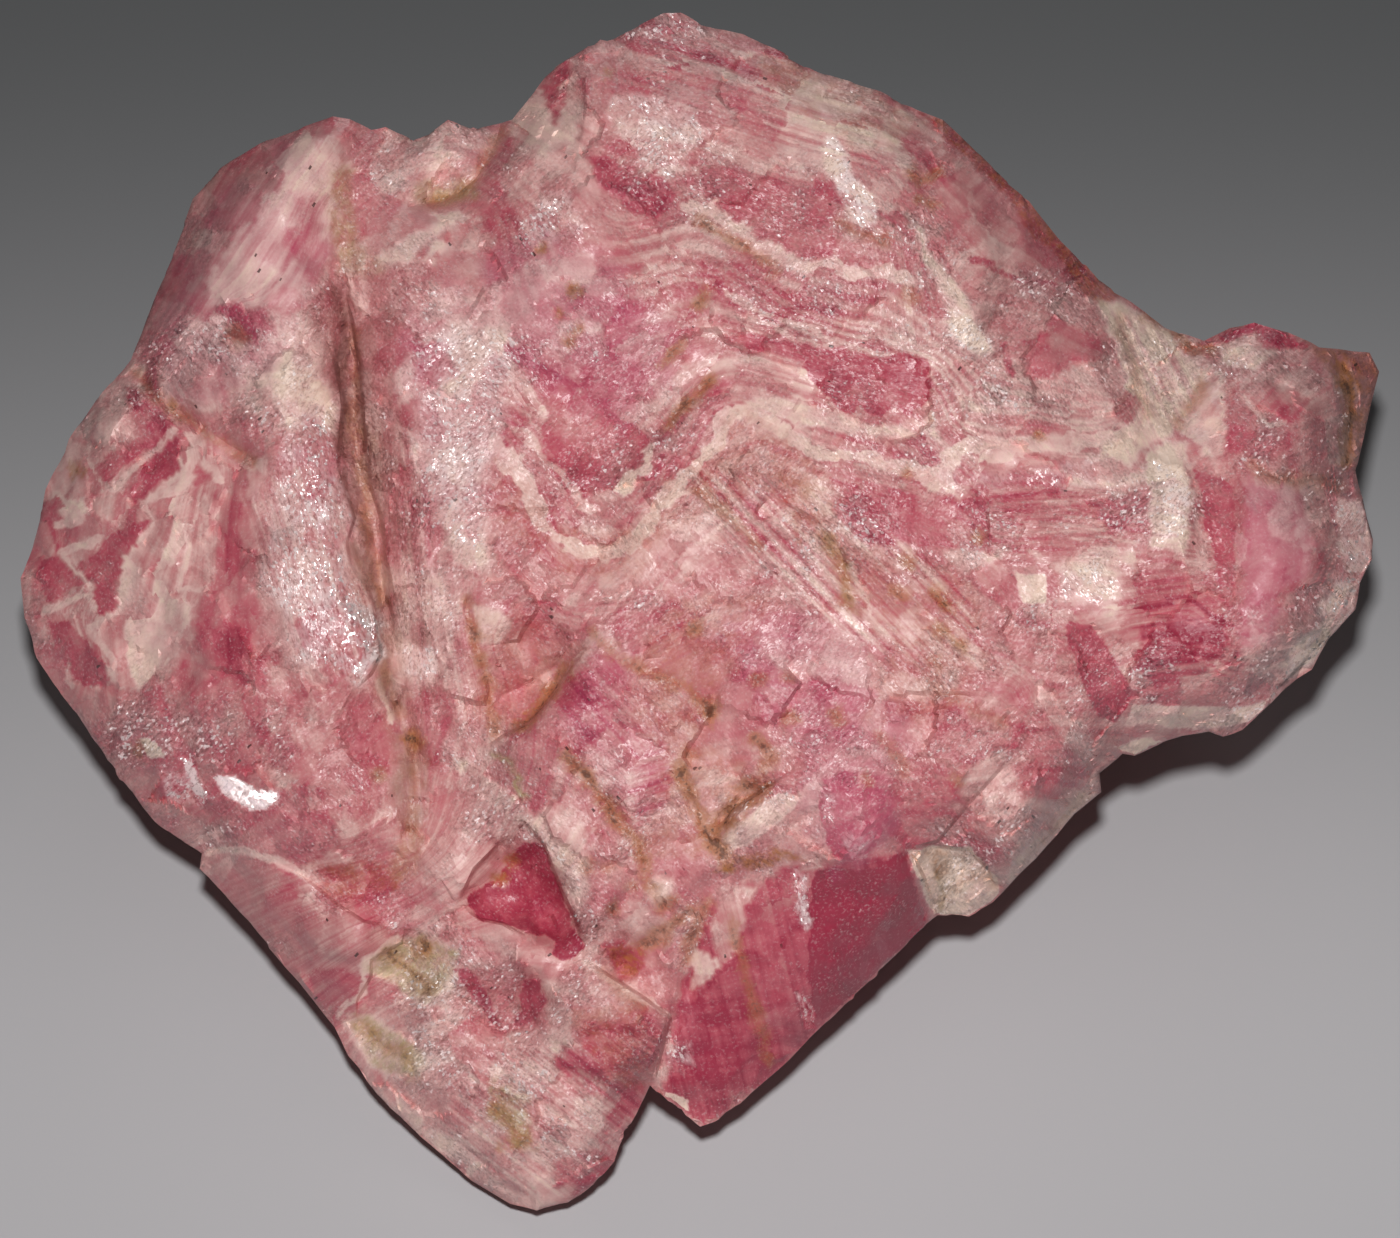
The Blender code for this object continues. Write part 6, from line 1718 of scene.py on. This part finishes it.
    def store(self, piece: bpy.types.Object, mesh: TriangleMesh, share: Array,
              hollow: Array) -> None:
        """Stores the markings on the piece's points, and the fine lines on its corners.

        Args:
            piece: the object that gets them.
            mesh: its points and triangles.
            share: how much of each point belongs to the face.
            hollow: how deep each point lies in a hollow.
        """
        flat = self.frame_of_face.to_face(mesh.points)[:, :2]
        line_gap, line_value = self.markings.line_layer(flat, TONE)
        stain_gap, stain_value = self.markings.line_layer(flat, STAIN)
        off_face = -2.0 * (1.0 - share)
        block_tone = (0.23 * BLOCKS.values(flat, 26) + 0.16 * SMALL_BLOCKS.values(flat, 26)
                      + 0.1 * CRUMBS.values(flat, 26))[:, 0]
        crust = self.markings.soft_layer(flat, CRUST)
        downhill = ease(-(mesh.normals() @ self.frame_of_face.axes.T)[:, 1])
        on_points = {
            "tone": (self.markings.soft_layer(flat, TONE) + block_tone) * share,
            "stain": self.markings.soft_layer(flat, STAIN) * share,
            "olive": self.markings.soft_layer(flat, OLIVE) * share,
            "pearl": self.markings.soft_layer(flat, PEARL) * share,
            "cool": self.markings.soft_layer(flat, COOL) * share,
            "line_gap": line_gap + off_face, "line_value": line_value,
            "stain_gap": stain_gap + off_face, "stain_value": stain_value,
            "banded": 0.55 + 0.6 * self.covered(flat, BANDED_AREAS, 3.0),
            "sparkle": self.sparkle(flat) * share,
            # walls that face down the face get less crust: painted paler, as lit walls
            "wall": np.maximum((1.0 - share) * (1.0 - 0.6 * downhill), crust), "hollow": hollow,
        }
        on_corners = self.fine_lines(mesh, flat, share)
        for domain, values in (("POINT", on_points), ("CORNER", on_corners)):
            for name, numbers in values.items():
                attribute = piece.data.attributes.new(name, "FLOAT", domain)
                attribute.data.foreach_set("value", numbers.astype(np.float32))

    def fine_lines(self, mesh: TriangleMesh, flat: Array, share: Array) -> dict[str, Array]:
        """Coordinates that the fine lines and bands follow, each triangle within one block.

        Args:
            mesh: the shaped stone.
            flat: the points' (u, v).
            share: how much of each point belongs to the face.

        Returns:
            Values for every triangle corner, by attribute name.
        """
        corners = mesh.triangles.reshape(-1)
        places = mesh.points[mesh.triangles] / MM
        middle = flat[mesh.triangles].mean(axis=1)
        turn, strength = self.markings.rulings(middle)
        outward = np.cross(places[:, 1] - places[:, 0], places[:, 2] - places[:, 0])
        sides = np.array([[1, 2], [0, 2], [0, 1]])[np.abs(outward).argmax(axis=1)]
        boxed = np.take_along_axis(places, sides[:, None, :].repeat(3, axis=1), 2).reshape(-1, 2)
        on_face = share[mesh.triangles].mean(axis=1)
        facing = np.repeat(on_face > 0.5, 3)
        turn = np.repeat(turn, 3)
        return {
            "ruling": np.where(facing, self.markings.across(flat[corners], turn), boxed[:, 0]),
            "lengthwise": np.where(facing, self.markings.across(flat[corners], turn - 90.0),
                                   boxed[:, 1]),
            "ruling_strength": np.repeat(strength * on_face, 3),
            "growth": self.markings.growth(flat)[corners] + np.repeat(self.band_shift(middle), 3),
        }

    def dress(self, piece: bpy.types.Object) -> None:
        """Gives the piece its finish and its place in the frame.

        Args:
            piece: the built piece.
        """
        piece.data.materials.append(BandedRhodochrosite().material())
        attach(piece, "root")
        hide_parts("rhodochrosite_stone")


BANDED_AREAS: list[Path] = [
    [(-6, 50), (5, 48.5), (17, 42.5), (17, 36), (20, 24), (26, 20), (38, 16), (44, 10), (44, -5),
     (34, -6), (24, 4), (12, 9), (4, 12), (-4, 8), (-12, 4), (-18, 14), (-8, 30)],
    [(-55, 14), (-46, 20), (-38, 12), (-40, -4), (-52, -6)],
]

BLENDED_STEPS: list[Path] = [
    [(28, 6), (36, 14), (51, 14), (51, -6), (40, -7), (32, -10), (28, -4)],
    [(-17, 25), (-10, 24), (2, 29), (6, 22), (2, 16), (-4, 11), (-10, 7), (-16, 12)],
    [(-10, 2), (24, 6), (24, -12), (14, -11), (4, -9), (-2, -17), (9, -18.4), (10, -21.6),
     (-2, -25.4), (-10, -20), (-12, -8)],
    [(-2, 40), (14, 40), (22, 30), (22, 14), (10, 14), (0, 22)],
    [(15, -12.6), (19, -12.6), (18.4, -18), (13.4, -23), (9, -21), (10, -18.2), (12.6, -18.6),
     (15.2, -16)],
]

CALM_PLANES: list[Path] = [
    [(19, 37), (22, 38), (25, 35.6), (28, 31.6), (30.6, 28.6), (28, 26), (24, 25), (21, 30)],
    [(45, 12), (47.4, 12.4), (50, 10.4), (50.8, 8), (50.4, 4), (49.6, 1), (47, -1.6), (45, -3)],
    [(-41.5, 27), (-39, 31), (-36.4, 35), (-33.6, 39.4), (-31, 40.4), (-29.6, 37), (-30.4, 32),
     (-31.6, 28), (-36, 26)],
    [(-38, 9.2), (-36.4, 12), (-34.2, 14.6), (-31, 13), (-29.6, 7), (-27, 0), (-28.6, -5.8),
     (-34.4, -3)],
    [(-47, 23), (-45, 30), (-42.6, 36), (-38, 39), (-35, 39), (-39.8, 30.6), (-43, 25)],
    [(0, -24), (4, -21.6), (9, -21), (17, -19.2), (19, -25.6), (9, -36), (1, -43), (-3, -39)],
    [(12, 10.6), (24, 9.9), (24.2, 5.4), (14, 6.4)],
    [(-42, -20.6), (-36, -19.8), (-30, -24.2), (-26, -26.4), (-28.2, -31), (-30, -34)],
]


# ---- studio ----
@dataclass
class Studio:
    """Pale floor, soft lamps and the camera that looks straight at the broken face."""

    view_distance: float = 700.0
    sensor: float = 36.0
    view_width: float = 1400.0 / 12.0
    clip: tuple[float, float] = (0.01, 20.0)
    floor_half: float = 3.0
    key_offset: Triple = (-5.0, 84.0, 660.0)
    key_size: float = 0.04
    key_power: float = 0.69
    key_spread_deg: float = 80.0
    aim: Triple = (6.0, -6.0, 0.0)
    rear_offset: Triple = (60.0, 673.0, -244.0)
    rear_size: float = 0.3
    rear_power: float = 0.5
    sky: float = 0.042
    frame_of_face: FaceFrame = field(default_factory=FaceFrame)

    def place(self, offset: Triple, aim: Triple = (0.0, 0.0, 0.0)) -> tuple[Vector, Matrix]:
        """Position and turn of something that looks at the face.

        Args:
            offset: millimetres right, up the face and out of it, from the face's centre.
            aim: the same for the point that it looks at.

        Returns:
            The position in metres, and the 3 x 3 turn.
        """
        axes = self.frame_of_face.axes
        centre = self.frame_of_face.origin
        position = Vector((centre + np.array(offset) @ axes) * MM)
        target = Vector((centre + np.array(aim) @ axes) * MM)
        outward = (position - target).normalized()
        right = Vector(axes[1]).cross(outward).normalized()
        return position, Matrix((right, outward.cross(right), outward)).transposed()

    def camera(self) -> None:
        """Adds the camera at the specimen's usual viewing angle."""
        data = bpy.data.cameras.new("camera")
        data.sensor_width = self.sensor
        data.lens = self.sensor * self.view_distance / self.view_width
        data.clip_start, data.clip_end = self.clip
        position, turn = self.place((0.0, 0.0, self.view_distance))
        camera = bpy.data.objects.new("camera", data)
        camera.matrix_world = Matrix.Translation(position) @ turn.to_4x4()
        bpy.context.scene.collection.objects.link(camera)
        bpy.context.scene.camera = camera

    def lamp(self, name: str, offset: Triple, size: float,
             power: float, spread_deg: float = 180.0) -> None:
        """Adds a round soft lamp that faces the stone.

        Args:
            name: the lamp's name.
            offset: millimetres right, up the face and out of it, from the face's centre.
            size: its diameter in metres.
            power: in watts.
            spread_deg: how wide its beam opens.
        """
        data = bpy.data.lights.new(name, "AREA")
        data.shape = "DISK"
        data.size = size
        data.energy = power
        data.spread = math.radians(spread_deg)
        lamp = bpy.data.objects.new(name, data)
        position, turn = self.place(offset, self.aim)
        lamp.matrix_world = Matrix.Translation(position) @ turn.to_4x4()
        bpy.context.scene.collection.objects.link(lamp)

    def floor(self) -> None:
        """Adds the table top."""
        half = self.floor_half
        mesh = bpy.data.meshes.new("floor")
        mesh.from_pydata([(-half, -half, 0.0), (half, -half, 0.0), (half, half, 0.0),
                          (-half, half, 0.0)], [], [(0, 1, 2, 3)])
        mesh.materials.append(PaleFloorFinish().material())
        floor = bpy.data.objects.new("floor", mesh)
        bpy.context.scene.collection.objects.link(floor)

    def build(self) -> None:
        """Sets up everything around the stone."""
        self.camera()
        self.lamp("key_lamp", self.key_offset, self.key_size, self.key_power,
                  self.key_spread_deg)
        self.lamp("rear_lamp", self.rear_offset, self.rear_size, self.rear_power)
        self.floor()
        world = bpy.data.worlds.new("studio")
        world.use_nodes = True
        background = world.node_tree.nodes["Background"]
        background.inputs["Color"].default_value = (1.0, 1.0, 1.0, 1.0)
        background.inputs["Strength"].default_value = self.sky
        bpy.context.scene.world = world
        bpy.context.scene.view_settings.view_transform = "Standard"
        LOG.info("studio: camera, two lamps and floor")


def main() -> None:
    """Builds the stone and the studio.
    """
    logging.basicConfig(level=logging.INFO, format="%(name)s %(message)s")
    Studio().build()
    stone = Stone()
    piece = stone.build()
    stone.dress(piece)


if __name__ == "__main__":
    main()
